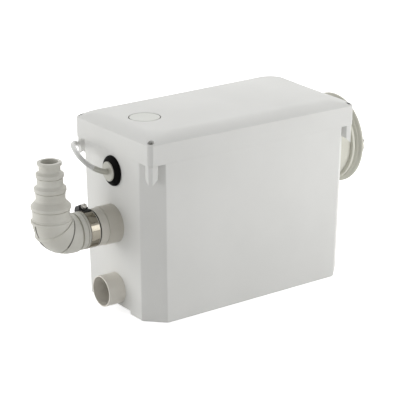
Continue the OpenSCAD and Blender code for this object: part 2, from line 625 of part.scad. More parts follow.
// a round tube through points, as one closed solid
module tube(p, r, sides) {
  n = len(p);
  rings = [for (i = [0:n - 1]) let (v = heading(p, i), u = across(v), w = cross(v, u))
    each [for (k = [0:sides - 1]) p[i] + r * (cos(360 * k / sides) * u + sin(360 * k / sides) * w)]];
  polyhedron(rings, concat(
    [[for (k = [0:sides - 1]) k]],
    [for (i = [0:n - 2], k = [0:sides - 1]) let (k2 = (k + 1) % sides)
      [i * sides + k2, i * sides + k, (i + 1) * sides + k, (i + 1) * sides + k2]],
    [[for (k = [sides - 1:-1:0]) (n - 1) * sides + k]]));
}
coil_gap = min([for (i = [0:coil_steps], j = [0:coil_steps]) if (abs(i - j) > 12)
  norm(coil_path[i] - coil_path[j]) - lead_d]);
echo(lead_length = path_len(lead_path) + path_len(coil_path) + path_len(tail_path), coil_gap = coil_gap);
module mains_lead() color(c_lead) tube(lead_path, lead_r, 8);
module lead_coil() color(c_lead) tube(coil_path, lead_r, 6);
module lead_tail() color(c_lead) tube(tail_path, lead_r, 8);
module lead_tie() color(c_dark)
  translate([coil_x - coil_r + 1.25 * coil_pitch, coil_y, (lay1_z + lay2_z) / 2]) {
  s = coil_pitch + lead_d + 0.5;
  rotate([90, 0, 0]) linear_extrude(4, center = true) difference() {
    square([s + 1.2, s + 1.2], center = true);
    square([s, s], center = true);
  }
  translate([-s / 2 - 3.1, 0, s / 2 - 3]) cube([5, 6, 6], center = true);
}
module on_plug() translate([coil_x + 77.3, tail_y, plug_z]) rotate([0, 90, 0]) children();
module plug_body() color(c_dark) on_plug() difference() {
  rotate_extrude() polygon([[0, 0], [4.6, 0], [5.2, 6], [6.4, 24], [9, 28], [plug_r - 3, 33],
    [plug_r, 37], [plug_r, 58], [plug_r - 1, 59], [0, 59]]);
  for (i = [0:3]) translate([0, 0, 5 + 5 * i]) ring(4.3 + 0.3 * i, 9, 0, 1.6);
  for (j = [-1, 1]) translate([0, j * 9.5, 51]) cylinder(r = 2.45, h = 10);
  for (i = [-1, 1]) translate([i * plug_r, 0, 52]) cube([5, 7, 20], center = true);
}
module plug_pins() color(c_steel) on_plug() for (j = [-1, 1]) translate([0, j * 9.5, 51.1]) {
  cylinder(r = 2.4, h = 7.9 + pin_len - 1.5);
  translate([0, 0, 7.9 + pin_len - 1.5]) cylinder(r1 = 2.4, r2 = 1.5, h = 1.5);
}

// MOTOR
module motor_deck() color(c_inner) place() difference() {
  union() {
    translate([(deck_x + deck_wall + 4) / 2, 0, deck_z]) linear_extrude(deck_t)
      cut_rect(deck_wall + 4 - deck_x, 2 * deck_y, 12);
    box(deck_wall, deck_wall + 4, -deck_y, deck_y, deck_z + deck_t - 1, rim_top - 3);
  }
  translate([motor_x, 0, deck_z - 1]) cylinder(r = 24, h = deck_t + 2);
  translate([switch_x, switch_y, deck_z - 1]) cylinder(r = bell_r + 0.4, h = deck_t + 2);
  for (q = deck_screw_at) translate([q[0], q[1], deck_z - 1]) cylinder(r = 2.3, h = deck_t + 2);
  for (a = [45:90:315]) translate([motor_x, 0, deck_z - 1]) rotate([0, 0, a])
    translate([motor_r + 4, 0, 0]) cylinder(r = 2.1, h = deck_t + 2);
}
module deck_screws() color(c_steel) place() for (q = deck_screw_at) translate([q[0], q[1], deck_z - 8]) {
  cylinder(r = 2, h = deck_t + 8.2);
  translate([0, 0, deck_t + 8.1]) cylinder(r = 4, h = 2.5);
}
module at_motor() translate([motor_x, 0, 0]) children();
module motor_housing() color(c_dark) place() at_motor() difference() {
  rotate_extrude() polygon([
    [shaft_r + 1.5, deck_z - 2], [22, deck_z - 2], [22, motor_z], [motor_flange, motor_z],
    [motor_flange, motor_z + 3.5], [motor_r, motor_z + 3.5], [motor_r, motor_top],
    [motor_r - 2.5, motor_top], [motor_r - 2.5, motor_z + 3.5], [22, motor_z + 3.5],
    [22, low_bearing_z + 9], [bearing_r + fit, low_bearing_z + 9], [bearing_r + fit, low_bearing_z],
    [shaft_r + 1.5, low_bearing_z]]);
  translate([0, 0, deck_z - 3]) cylinder(r = 12 + fit, h = 8);
  for (a = [45:90:315]) rotate([0, 0, a]) translate([motor_r + 4, 0, motor_z - 1]) cylinder(r = 2.1, h = 8);
}
module motor_cap() color(c_dark) place() at_motor() rotate_extrude() polygon([
  [bearing_r + fit, top_bearing_z], [bearing_r + 4, top_bearing_z], [bearing_r + 4, motor_top + 0.1],
  [motor_r, motor_top + 0.1], [motor_r, motor_top + 2], [motor_r - 4, motor_top + 5], [0, motor_top + 5],
  [0, top_bearing_z + 9.3], [bearing_r + fit, top_bearing_z + 9.3]]);
module motor_screws() color(c_steel) place() at_motor() for (a = [45:90:315]) rotate([0, 0, a])
  translate([motor_r + 4, 0, deck_z - 4]) {
    cylinder(r = 2, h = motor_z + 3.6 - deck_z + 4);
    translate([0, 0, motor_z + 3.6 - deck_z + 4]) cylinder(r = 3.6, h = 2.6);
  }
module stator() color(c_inner) place() at_motor() difference() {
  ring(rotor_r + air_gap, motor_r - 2.6, pack_z, pack_z + pack_h);
  for (i = [0:11]) rotate([0, 0, 30 * i]) translate([rotor_r + 7, 0, pack_z - 1])
    cylinder(r = 3.2, h = pack_h + 2);
}
module windings() color(c_copper) place() at_motor() {
  for (z = [pack_z - 4.6, pack_z + pack_h + 4.6]) translate([0, 0, z]) rotate_extrude()
    translate([rotor_r + 8, 0]) circle(r = 4.4);
  for (i = [0:11]) rotate([0, 0, 30 * i]) translate([rotor_r + 7, 0, pack_z - 2])
    cylinder(r = 3, h = pack_h + 4);
}
module rotor() color(c_steel) place() at_motor() difference() {
  union() {
    translate([0, 0, pack_z]) cylinder(r = rotor_r, h = pack_h);
    translate([0, 0, pack_z - 4]) cylinder(r = rotor_r - 6, h = pack_h + 8);
  }
  translate([0, 0, pack_z - 5]) cylinder(r = shaft_hole, h = pack_h + 10);
}
module motor_shaft() color(c_steel) place() at_motor() translate([0, 0, impeller_z + 1])
  cylinder(r = shaft_r, h = top_bearing_z + 8.6 - impeller_z - 1);
module bearings() color(c_steel) place() at_motor() for (z = [low_bearing_z, top_bearing_z])
  ring(shaft_hole, bearing_r, z + 0.1, z + 8.9);
module shaft_seal() color(c_rubber) place() at_motor() ring(shaft_hole, 12, deck_z - 1.8, deck_z + 4.9);

// CUTTER AND PUMP
module cutter_blade() color(c_steel) place() at_motor() difference() {
  union() {
    translate([0, 0, basket_z + 6]) cylinder(r = 9, h = 12);
    for (a = [0, 180]) rotate([0, 0, a]) {
      translate([0, -6, basket_z + 9]) cube([cutter_r - 2, 12, 3]);
      translate([cutter_r - 5, -6, basket_z + 9]) cube([3, 12, 12]);
    }
  }
  translate([0, 0, basket_z]) cylinder(r = shaft_hole, h = 30);
}
module basket() color(c_shell) place() difference() {
  shaft_way = shaft_r + 3;
  hole_step = (basket_x2 - basket_x1 - 40) / 7;
  slot_step = (basket_x2 - basket_x1 - 8) / 10;
  box(basket_x1, basket_x2, -basket_y, basket_y, basket_z, basket_z + basket_h);
  box(basket_x1 + basket_t, basket_x2 - basket_t, -basket_y + basket_t, basket_y - basket_t,
    basket_z + basket_t, basket_z + basket_h + 1);
  translate([motor_x, 0, basket_z - 1]) cylinder(r = shaft_way, h = 10);
  for (i = [0:7], j = [-2:2]) {
    q = [basket_x1 + 20 + hole_step * i, (basket_y - 25) / 2 * j];
    if (norm(q - [motor_x, 0]) > shaft_way + basket_hole_r + 2) translate([q[0], q[1], basket_z - 1])
      cylinder(r = basket_hole_r, h = basket_t + 2);
  }
  for (i = [0:9]) translate([basket_x1 + 14 + slot_step * i, 0, basket_z])
    box(-3, 3, -basket_y - 1, basket_y + 1, 14, basket_h - 12);
}
module pump_casing() color(c_inner) place() difference() {
  union() {
    at_motor() translate([0, 0, casing_z]) cylinder(r = casing_r, h = casing_top - casing_z);
    translate([motor_x, 0, pump_z]) rotate([0, -90, 0]) {
      cylinder(r = hose_r - 1, h = motor_x - pump_tail_x);
      cylinder(r = hose_bore - 0.1, h = motor_x - pump_tail_x + 15);
    }
  }
  at_motor() {
    translate([0, 0, casing_z - 1]) cylinder(r = casing_r - 4, h = casing_top - casing_z - 3);
    translate([0, 0, casing_z]) cylinder(r = shaft_r + 2, h = casing_top);
  }
  translate([motor_x, 0, pump_z]) rotate([0, -90, 0])
    cylinder(r = hose_bore - 2.5, h = motor_x - pump_tail_x + 23);
}
module suction_plate() color(c_inner) place() at_motor() {
  ring(16, casing_r, plate_z, plate_z + 3);
  for (a = [0:120:240]) rotate([0, 0, a]) translate([casing_r - 6, 0, floor_z + 0.1])
    cylinder(r = 4, h = plate_z - floor_z + 0.9);
}
module impeller() color(c_dark) place() at_motor() difference() {
  union() {
    translate([0, 0, impeller_z]) cylinder(r = 10, h = 18);
    translate([0, 0, impeller_z + 15]) cylinder(r = impeller_r, h = 3);
    for (i = [0:vanes - 1]) rotate([0, 0, 360 / vanes * i]) translate([6, -1.5, impeller_z])
      cube([impeller_r - 7, 3, 16]);
  }
  translate([0, 0, impeller_z - 1]) cylinder(r = shaft_hole, h = 30);
}
// inner hose in the middle plane: along, up, and out to the valve
module hose_core(r, over) {
  up = outlet_z - pump_z;
  b = hose_bend;
  translate([pump_tail_x - 0.2 + over, 0, pump_z]) rotate([0, -90, 0])
    cylinder(r = r, h = pump_tail_x - 0.2 - hose_x + over);
  translate([hose_x, 0, pump_z + b]) rotate([90, 0, 0]) rotate([0, 0, 180]) rotate_extrude(angle = 90)
    translate([b, 0]) circle(r = r);
  translate([hose_x - b, 0, pump_z + b]) cylinder(r = r, h = up - 2 * b);
  translate([hose_x - 2 * b, 0, outlet_z - b]) rotate([90, 0, 0]) rotate_extrude(angle = 90)
    translate([b, 0]) circle(r = r);
  translate([hose_x - 2 * b, 0, outlet_z]) rotate([0, -90, 0])
    cylinder(r = r, h = half_l - 16.5 + hose_x - 2 * b + over);
}
module discharge_hose() color(c_rubber) place() difference() {
  hose_core(hose_r, 0);
  hose_core(hose_bore, 2);
}
module hose_clips() color(c_steel) place() {
  translate([pump_tail_x - 4, 0, pump_z]) rotate([0, -90, 0]) ring(hose_r + fit, hose_r + 1.1, 0, 8);
  translate([-half_l + 28, 0, outlet_z]) rotate([0, -90, 0]) ring(hose_r + fit, hose_r + 1.1, 0, 8);
}

// LEVEL SWITCH AND ELECTRICS
module at_switch() translate([switch_x, switch_y, 0]) children();
module pressure_chamber() color(c_inner) place() at_switch() rotate_extrude() polygon([
  [bell_r - 3, floor_z + 4], [bell_r, floor_z + 4], [bell_r, cup_z], [switch_r, cup_z],
  [switch_r, cup_z + 12.8], [switch_r - 2.2, cup_z + 12.8], [switch_r - 2.2, membrane_z - 0.1],
  [switch_r - 5, membrane_z - 0.1], [switch_r - 5, cup_z + 3], [bell_r - 3, cup_z + 3]]);
module diaphragm() color(c_rubber) place() at_switch() translate([0, 0, membrane_z])
  cylinder(r = switch_r - 2.3, h = 1.5);
module switch_cap() color(c_inner) place() at_switch() {
  rotate_extrude() polygon([[switch_r - 4.4, membrane_z + 1.6], [switch_r - 2.3, membrane_z + 1.6],
    [switch_r - 2.3, cup_z + 12.9], [switch_r, cup_z + 12.9], [switch_r, cup_z + 20.5], [3.2, cup_z + 20.5],
    [3.2, cup_z + 16.5], [switch_r - 7, cup_z + 16.5], [switch_r - 7, cup_z + 12.9],
    [switch_r - 4.4, cup_z + 12.9]]);
  for (i = [-1, 1]) translate([i * 11, 0, cup_z + 22.9]) cube([4, 12, 5], center = true);
}
module switch_plunger() color(c_shell) place() at_switch() {
  translate([0, 0, membrane_z + 1.8]) cylinder(r = 12, h = 1.4);
  translate([0, 0, membrane_z + 2]) cylinder(r = 3, h = button_z - membrane_z - 2.1);
}
module micro_button() color(c_dark) place() at_switch() translate([0, 0, button_z])
  cylinder(r = 2, h = 5.2);
module microswitch() color(c_dark) place() at_switch() difference() {
  translate([0, 0, cup_z + 33.5]) cube([28, 12, 16], center = true);
  translate([0, 0, cup_z + 24]) cylinder(r = 2.2, h = 9.5);
}
module capacitor() color(c_shell) place() translate([switch_x, -switch_y, deck_z + deck_t + 2])
  cylinder(r = cap_r, h = cap_h);
module capacitor_clip() color(c_inner) place()
  translate([switch_x, -switch_y, deck_z + deck_t + 0.2]) difference() {
    cylinder(r = cap_r + 2.2, h = 17);
    translate([0, 0, 1.7]) cylinder(r = cap_r + fit, h = 20);
  }
module terminal_box() color(c_inner) place() translate([terminal_x, gland_y, 0]) difference() {
  union() {
    box(0, 50, -terminal_y, terminal_y, deck_z + deck_t + 0.2, gland_z + 12);
    box(0.8, 49.2, 1 - terminal_y, terminal_y - 1, gland_z + 11, gland_z + 15);
  }
  box(3, 47, 3 - terminal_y, terminal_y - 3, deck_z + deck_t + 3, gland_z + 10);
}

tank();
lid();
lid_seal();
lid_screws();
vent_cap();
carbon_filter();
outlet_socket();
valve_body();
discharge_flap();
flap_pin();
discharge_elbow();
elbow_clamp_band();
elbow_clamp_housing();
elbow_clamp_screw();
inlet_spigot();
inlet_flap();
inlet_flap_pin();
wc_collar();
wc_gaiter();
wc_clamp_band();
wc_clamp_housing();
wc_clamp_screw();
cable_grommet();
cable_gland();
inner_lead();
mains_lead();
lead_coil();
lead_tail();
lead_tie();
plug_body();
plug_pins();
motor_deck();
deck_screws();
motor_housing();
motor_cap();
motor_screws();
stator();
windings();
rotor();
motor_shaft();
bearings();
shaft_seal();
cutter_blade();
basket();
pump_casing();
suction_plate();
impeller();
discharge_hose();
hose_clips();
pressure_chamber();
diaphragm();
switch_cap();
switch_plunger();
micro_button();
microswitch();
capacitor();
capacitor_clip();
terminal_box();
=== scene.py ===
"""Looks of a box-shaped macerator toilet pump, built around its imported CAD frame.

Sizes in the classes are millimetres in the tank's own frame, whose middle stands 34 mm along +X
from the origin, and become metres in the meshes. The front faces -Y, the discharge end -X.
"""

import logging
import math
from dataclasses import dataclass
from enum import Enum
from typing import Any, Iterable, Sequence

import bmesh
import bpy
from mathutils import Matrix, Vector


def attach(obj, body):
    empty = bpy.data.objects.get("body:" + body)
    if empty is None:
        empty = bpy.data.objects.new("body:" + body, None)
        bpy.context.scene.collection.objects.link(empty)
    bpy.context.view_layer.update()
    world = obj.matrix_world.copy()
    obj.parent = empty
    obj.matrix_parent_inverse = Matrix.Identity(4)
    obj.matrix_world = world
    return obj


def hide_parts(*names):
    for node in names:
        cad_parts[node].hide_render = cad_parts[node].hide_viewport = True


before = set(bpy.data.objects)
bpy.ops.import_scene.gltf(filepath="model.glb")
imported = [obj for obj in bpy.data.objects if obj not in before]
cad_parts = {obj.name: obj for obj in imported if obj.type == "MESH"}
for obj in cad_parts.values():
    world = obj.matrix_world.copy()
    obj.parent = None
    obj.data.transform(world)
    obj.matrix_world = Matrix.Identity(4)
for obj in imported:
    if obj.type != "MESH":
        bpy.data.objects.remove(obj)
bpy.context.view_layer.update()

Vec2 = tuple[float, float]
Corner = tuple[float, float, float]
Colour = tuple[float, float, float, float]
Ring = list[Vector]
Thing = bpy.types.Object
Socket = bpy.types.NodeSocket
Tree = bpy.types.NodeTree

LOG = logging.getLogger("macerator")
MM = 0.001
SHIFT = 34.0
X, Y, Z = Vector((1, 0, 0)), Vector((0, 1, 0)), Vector((0, 0, 1))
CORNERS = ((-1, -1), (-1, 1), (1, -1), (1, 1))

# Half length and half depth of the unit at the seam of tank and lid, and the seam's height
HALF_L, HALF_D, SEAM_Z = 167.0, 88.0, 215.0
# Distance of a lid screw from both faces of its corner, and the places of the four
SCREW_IN = 6.8
SCREW_AT = [(i * (HALF_L - SCREW_IN), j * (HALF_D - SCREW_IN)) for i, j in CORNERS]
# A rounded corner takes up to this share of its shorter side, and a flatter one than this stays a point
SIDE_SHARE, FLAT_HALF = 0.49, math.radians(89.5)


# Curves, rings and meshes


def fillet_line(corners: Sequence[Corner], closed: bool, steps: int = 5) -> list[Vec2]:
    """Rounds the corners of a flat line.

    Args:
        corners: Points as (x, y, radius), where a radius of 0 keeps the corner sharp.
        closed: Whether the last point joins the first.
        steps: Number of segments in each rounded corner.

    Returns:
        The points of the rounded line.
    """
    line: list[Vec2] = []
    count = len(corners)
    for i, (x, y, radius) in enumerate(corners):
        if radius <= 0 or (not closed and i in (0, count - 1)):
            line.append((x, y))
            continue
        here = Vector((x, y))
        back = Vector(corners[i - 1][:2]) - here
        ahead = Vector(corners[(i + 1) % count][:2]) - here
        room = SIDE_SHARE * min(back.length, ahead.length)
        back.normalize()
        ahead.normalize()
        half = back.angle(ahead) / 2
        if half > FLAT_HALF:
            line.append((x, y))
            continue
        reach = min(radius / math.tan(half), room)
        bend = reach * math.tan(half)
        middle = here + (back + ahead).normalized() * (bend / math.sin(half))
        first, last = here + back * reach - middle, here + ahead * reach - middle
        start = math.atan2(first.y, first.x)
        turn = (math.atan2(last.y, last.x) - start + math.pi) % math.tau - math.pi
        for k in range(steps + 1):
            a = start + turn * k / steps
            line.append((middle.x + bend * math.cos(a), middle.y + bend * math.sin(a)))
    return line


def tank_point(x: float, y: float, z: float) -> Vector:
    """A point of the tank's frame in the shared frame, in millimetres."""
    return Vector((x + SHIFT, y, z))


def cut_rectangle(half_x: float, half_y: float, cut: float, rounding: float, z: float) -> Ring:
    """Outline of a rectangle with cut corners whose edges are rounded.

    Args:
        half_x: Half of its length.
        half_y: Half of its depth.
        cut: Leg of the corner cuts.
        rounding: Radius on each edge of a cut.
        z: Height of the outline.

    Returns:
        The outline's points, the same number whatever the sizes.
    """
    corners = [(half_x - cut, -half_y), (half_x, -half_y + cut),
               (half_x, half_y - cut), (half_x - cut, half_y)]
    corners += [(-x, -y) for x, y in corners]
    return [tank_point(x, y, z) for x, y in fillet_line([(x, y, rounding) for x, y in corners], True, 4)]


def linked(name: str, data: bpy.types.ID) -> Thing:
    """Makes an object at the origin, linked to the scene.

    Args:
        name: Name of the object.
        data: Its mesh, curve, lamp or camera.

    Returns:
        The new object.
    """
    thing = bpy.data.objects.new(name, data)
    bpy.context.scene.collection.objects.link(thing)
    return thing


def mesh_object(name: str, bm: bmesh.types.BMesh) -> Thing:
    """Makes an object from a bmesh, merged and turned outwards.

    Args:
        name: Name of the object.
        bm: The shape, in metres. It is freed here.

    Returns:
        The new object.
    """
    bmesh.ops.remove_doubles(bm, verts=bm.verts, dist=2e-7)
    bmesh.ops.recalc_face_normals(bm, faces=bm.faces)
    mesh = bpy.data.meshes.new(name)
    bm.to_mesh(mesh)
    bm.free()
    return linked(name, mesh)


def loft(name: str, rings: Sequence[Ring], closed: bool = False, caps: bool = True) -> Thing:
    """Joins rings of equally many points into a skin.

    Args:
        name: Name of the object.
        rings: The rings in order, in millimetres.
        closed: Whether the last ring joins the first.
        caps: Whether an open skin is closed by a face at each end.

    Returns:
        The new object.
    """
    bm = bmesh.new()
    loops = [[bm.verts.new(p * MM) for p in ring] for ring in rings]
    for i in range(len(loops) if closed else len(loops) - 1):
        low, high = loops[i], loops[(i + 1) % len(loops)]
        for k in range(len(low)):
            n = (k + 1) % len(low)
            bm.faces.new((low[k], low[n], high[n], high[k]))
    if caps and not closed:
        bm.faces.new(list(reversed(loops[0])))
        bm.faces.new(loops[-1])
    return mesh_object(name, bm)


@dataclass(frozen=True)
class Axis:
    """Axis of a turned piece: its foot, the way it points, and the way that angle 0 points."""

    foot: Vector
    out: Vector
    up: Vector

    def at(self, radius: float, angle: float, height: float) -> Vector:
        """The point at a radius, an angle in radians from up, and a height along the axis."""
        side = self.out.cross(self.up)
        return self.foot + self.out * height + (self.up * math.cos(angle) + side * math.sin(angle)) * radius

    def moved(self, along: float) -> "Axis":
        """The same axis with its foot moved along it."""
        return Axis(self.foot + self.out * along, self.out, self.up)

    def turned(self, name: str, profile: Sequence[Vec2], steps: int = 96, solid: bool = False) -> Thing:
        """Turns a profile round the axis.

        Args:
            name: Name of the object.
            profile: Points as (radius, height), a closed outline, or a line from axis to axis if solid.
            steps: Number of steps round the axis.
            solid: Whether the profile starts and ends on the axis.

        Returns:
            The new object.
        """
        rings = [[self.at(r, math.tau * k / steps, h) for k in range(steps)] for r, h in profile]
        return loft(name, rings, closed=not solid, caps=False)

    def lathe(self, name: str, corners: Sequence[Corner], steps: int, bends: int = 5,
              solid: bool = False) -> Thing:
        """Turns a profile of corners (radius, height, rounding), each rounded in a number of bends."""
        return self.turned(name, fillet_line(corners, not solid, bends), steps, solid)

    def rod(self, radius: float, low: float, high: float, steps: int = 96) -> Thing:
        """A plain cylinder between two heights, as a shape to cut."""
        return self.turned("rod", [(0, low), (radius, low), (radius, high), (0, high)], steps, True)

    def matrix(self) -> Matrix:
        """Local Z to the axis and local X to angle 0, in metres."""
        turn = Matrix((self.up, self.out.cross(self.up), self.out)).transposed().to_4x4()
        return Matrix.Translation(self.foot * MM) @ turn


def end_axis(y: float, z: float) -> Axis:
    """Axis out of the discharge end wall, with angle 0 upwards."""
    return Axis(tank_point(-HALF_L, y, z), -X, Z)


def upright_axis(x: float, y: float, z: float) -> Axis:
    """Axis that stands upright, with angle 0 along +X."""
    return Axis(tank_point(x, y, z), Z, X)


OUTLET = end_axis(0, 118)
LEAD_EXIT = end_axis(-3, 190)
LOW_INLET = end_axis(-4, 29.2)
WC_INLET = Axis(tank_point(HALF_L, 0, 170.7), X, Z)


def rounded_box(name: str, axis: Axis, x: Vec2, y: Vec2, h: Vec2, rounding: float) -> Thing:
    """A box with rounded edges in an axis' frame.

    Args:
        name: Name of the object.
        axis: The frame: x runs along up, y across, h along out.
        x: Low and high x.
        y: Low and high y.
        h: Low and high h.
        rounding: Radius of the edges.

    Returns:
        The new object.
    """
    bm = bmesh.new()
    bmesh.ops.create_cube(bm, size=1.0)
    for v in bm.verts:
        v.co = Vector([(high - low) * c + (low + high) / 2 for (low, high), c in zip((x, y, h), v.co)])
    bmesh.ops.bevel(bm, geom=bm.edges[:], offset=rounding, segments=3, profile=0.5, affect="EDGES")
    bmesh.ops.scale(bm, vec=(MM, MM, MM), verts=bm.verts)
    bmesh.ops.transform(bm, matrix=axis.matrix(), verts=bm.verts)
    return mesh_object(name, bm)


def baked(thing: Thing) -> Thing:
    """Turns an object's modifiers into plain mesh.

    Args:
        thing: The object, whose modifiers are removed.

    Returns:
        The same object.
    """
    bpy.context.view_layer.update()
    graph = bpy.context.evaluated_depsgraph_get()
    mesh = bpy.data.meshes.new_from_object(thing.evaluated_get(graph), depsgraph=graph)
    old = thing.data
    thing.modifiers.clear()
    thing.data = mesh
    mesh.name = thing.name
    bpy.data.meshes.remove(old)
    return thing


def carved(thing: Thing, cutters: Sequence[Thing]) -> Thing:
    """Cuts closed shapes out of an object and removes them.

    Args:
        thing: The object to cut.
        cutters: The shapes.

    Returns:
        The same object.
    """
    for cutter in cutters:
        cut = thing.modifiers.new("cut", "BOOLEAN")
        cut.operation, cut.solver, cut.object = "DIFFERENCE", "EXACT", cutter
    baked(thing)
    for cutter in cutters:
        bpy.data.objects.remove(cutter)
    return thing


def joined(thing: Thing, others: Iterable[Thing]) -> Thing:
    """Adds the meshes of other objects to one and removes the others.

    Args:
        thing: The object that stays.
        others: Objects at the origin.

    Returns:
        The same object.
    """
    bm = bmesh.new()
    bm.from_mesh(thing.data)
    for other in others:
        bm.from_mesh(other.data)
        bpy.data.objects.remove(other)
    bm.to_mesh(thing.data)
    bm.free()
    return thing


def shaded(thing: Thing, angle: float = 40.0, flat_over: float = 1e9) -> Thing:
    """Smooths the curved faces of a piece and keeps its edges and large flats.

    Args:
        thing: The piece.
        angle: Edges sharper than this, in degrees, stay sharp.
        flat_over: Faces over this area, in square millimetres, are shaded flat.

    Returns:
        The same object.
    """
    mesh = thing.data
    mesh.shade_smooth()
    mesh.set_sharp_from_angle(angle=math.radians(angle))
    for face in mesh.polygons:
        if face.area > flat_over * MM * MM:
            face.use_smooth = False
    thing.modifiers.new("weigh", "WEIGHTED_NORMAL").keep_sharp = True
    return baked(thing)


# Node trees and finishes


class Graph:
    """A node tree with short calls to add nodes, set their sockets and link them."""

    def __init__(self, tree: Tree) -> None:
        """Wraps a node tree."""
        self.tree = tree

    @classmethod
    def group(cls, name: str, kind: str, takes: dict[str, str], gives: dict[str, str]) -> tuple["Graph", Any]:
        """Starts a node group.

        Args:
            name: Name of the group.
            kind: Shader or Geometry.
            takes: Names and types of its inputs.
            gives: Names and types of its outputs.

        Returns:
            The group's graph, and its inputs as sockets to link from.
        """
        tree = bpy.data.node_groups.new(name, kind + "NodeTree")
        for way, sockets in (("INPUT", takes), ("OUTPUT", gives)):
            for label, sort in sockets.items():
                tree.interface.new_socket(name=label, in_out=way, socket_type="NodeSocket" + sort)
        graph = cls(tree)
        return graph, graph.add("NodeGroupInput").outputs

    @classmethod
    def cleared(cls, owner: bpy.types.ID) -> "Graph":
        """Empties the node tree of a material or world.

        Args:
            owner: The material or world.

        Returns:
            Its graph.
        """
        owner.use_nodes = True
        owner.node_tree.nodes.clear()
        return cls(owner.node_tree)

    def add(self, kind: str, inputs: dict[Any, Any] | None = None, **props: Any) -> bpy.types.Node:
        """Adds a node.

        Args:
            kind: The node's type name.
            inputs: Socket name or number to a value, or to an output socket to link.
            props: Properties of the node.

        Returns:
            The new node.
        """
        node = self.tree.nodes.new(kind)
        for key, value in props.items():
            setattr(node, key, value)
        for key, value in (inputs or {}).items():
            if isinstance(value, Socket):
                self.tree.links.new(value, node.inputs[key])
            else:
                node.inputs[key].default_value = value
        return node

    def out(self, kind: str, inputs: dict[Any, Any] | None = None, **props: Any) -> Socket:
        """The first output of a new node."""
        return self.add(kind, inputs, **props).outputs[0]

    def math(self, operation: str, first: Any, second: Any = 0.0) -> Socket:
        """The result of a Math node."""
        return self.out("ShaderNodeMath", {0: first, 1: second}, operation=operation)

    def total(self, first: Any, share: float, second: Any, rest: float) -> Socket:
        """The sum of two values, each times its share."""
        return self.math("ADD", self.math("MULTIPLY", first, share), self.math("MULTIPLY", second, rest))

    def xyz(self, **parts: Any) -> Socket:
        """A vector of the parts X, Y and Z."""
        return self.out("ShaderNodeCombineXYZ", parts)

    def noise(self, vector: Any, scale: Any, detail: float = 2.0) -> Socket:
        """A noise value between 0 and 1."""
        return self.out("ShaderNodeTexNoise", {"Vector": vector, "Scale": scale, "Detail": detail})

    def shifted(self, mesh: Any, **move: Any) -> Socket:
        """A mesh moved by a Translation or turned by a Rotation."""
        return self.out("GeometryNodeTransform", {"Geometry": mesh, **move})

    def join(self, *meshes: Socket) -> Socket:
        """Joins meshes.

        Args:
            meshes: Sockets of the meshes.

        Returns:
            All of them as one mesh.
        """
        node = self.add("GeometryNodeJoinGeometry")
        for mesh in meshes:
            self.tree.links.new(mesh, node.inputs[0])
        return node.outputs[0]

    def repeat(self, points: Any, piece: Any, turn: Any, material: Any) -> Tree:
        """Ends a geometry group: a piece on each point, as one dressed mesh.

        Args:
            points: The points.
            piece: The mesh to repeat.
            turn: Euler angles of each copy.
            material: What the copies are made of.

        Returns:
            The group.
        """
        facing = self.out("FunctionNodeEulerToRotation", {0: turn})
        spread = self.out("GeometryNodeInstanceOnPoints",
                          {"Points": points, "Instance": piece, "Rotation": facing})
        real = self.out("GeometryNodeRealizeInstances", {0: spread})
        dressed = self.out("GeometryNodeSetMaterial", {"Geometry": real, "Material": material})
        self.add("NodeGroupOutput", {0: dressed})
        return self.tree


def srgb(*channels: float) -> Colour:
    """A colour written in 8-bit sRGB as linear values."""
    parts = [c / 255 for c in channels]
    return *(c / 12.92 if c <= 0.04045 else ((c + 0.055) / 1.055) ** 2.4 for c in parts), 1.0


class Pattern(Enum):
    """What the surface of a finish shows when it is looked at closely."""

    MOULDED = "moulded"
    RUBBER = "rubber"
    BRUSHED = "brushed"
    LAYERED = "layered"
    WOUND = "wound"
    GRANULES = "granules"


@dataclass(frozen=True)
class Finish:
    """A finish: two near colours, gloss, relief and the pattern that carries them."""

    name: str
    base: Colour
    tint: Colour
    rough: Vec2 = (0.36, 0.46)
    pattern: Pattern = Pattern.MOULDED
    grain: float = 800.0
    cloud: float = 9.0
    relief: float = 0.04
    metal: float = 0.0
    specular: float = 0.5
    stretch: Corner = (1.0, 1.0, 1.0)


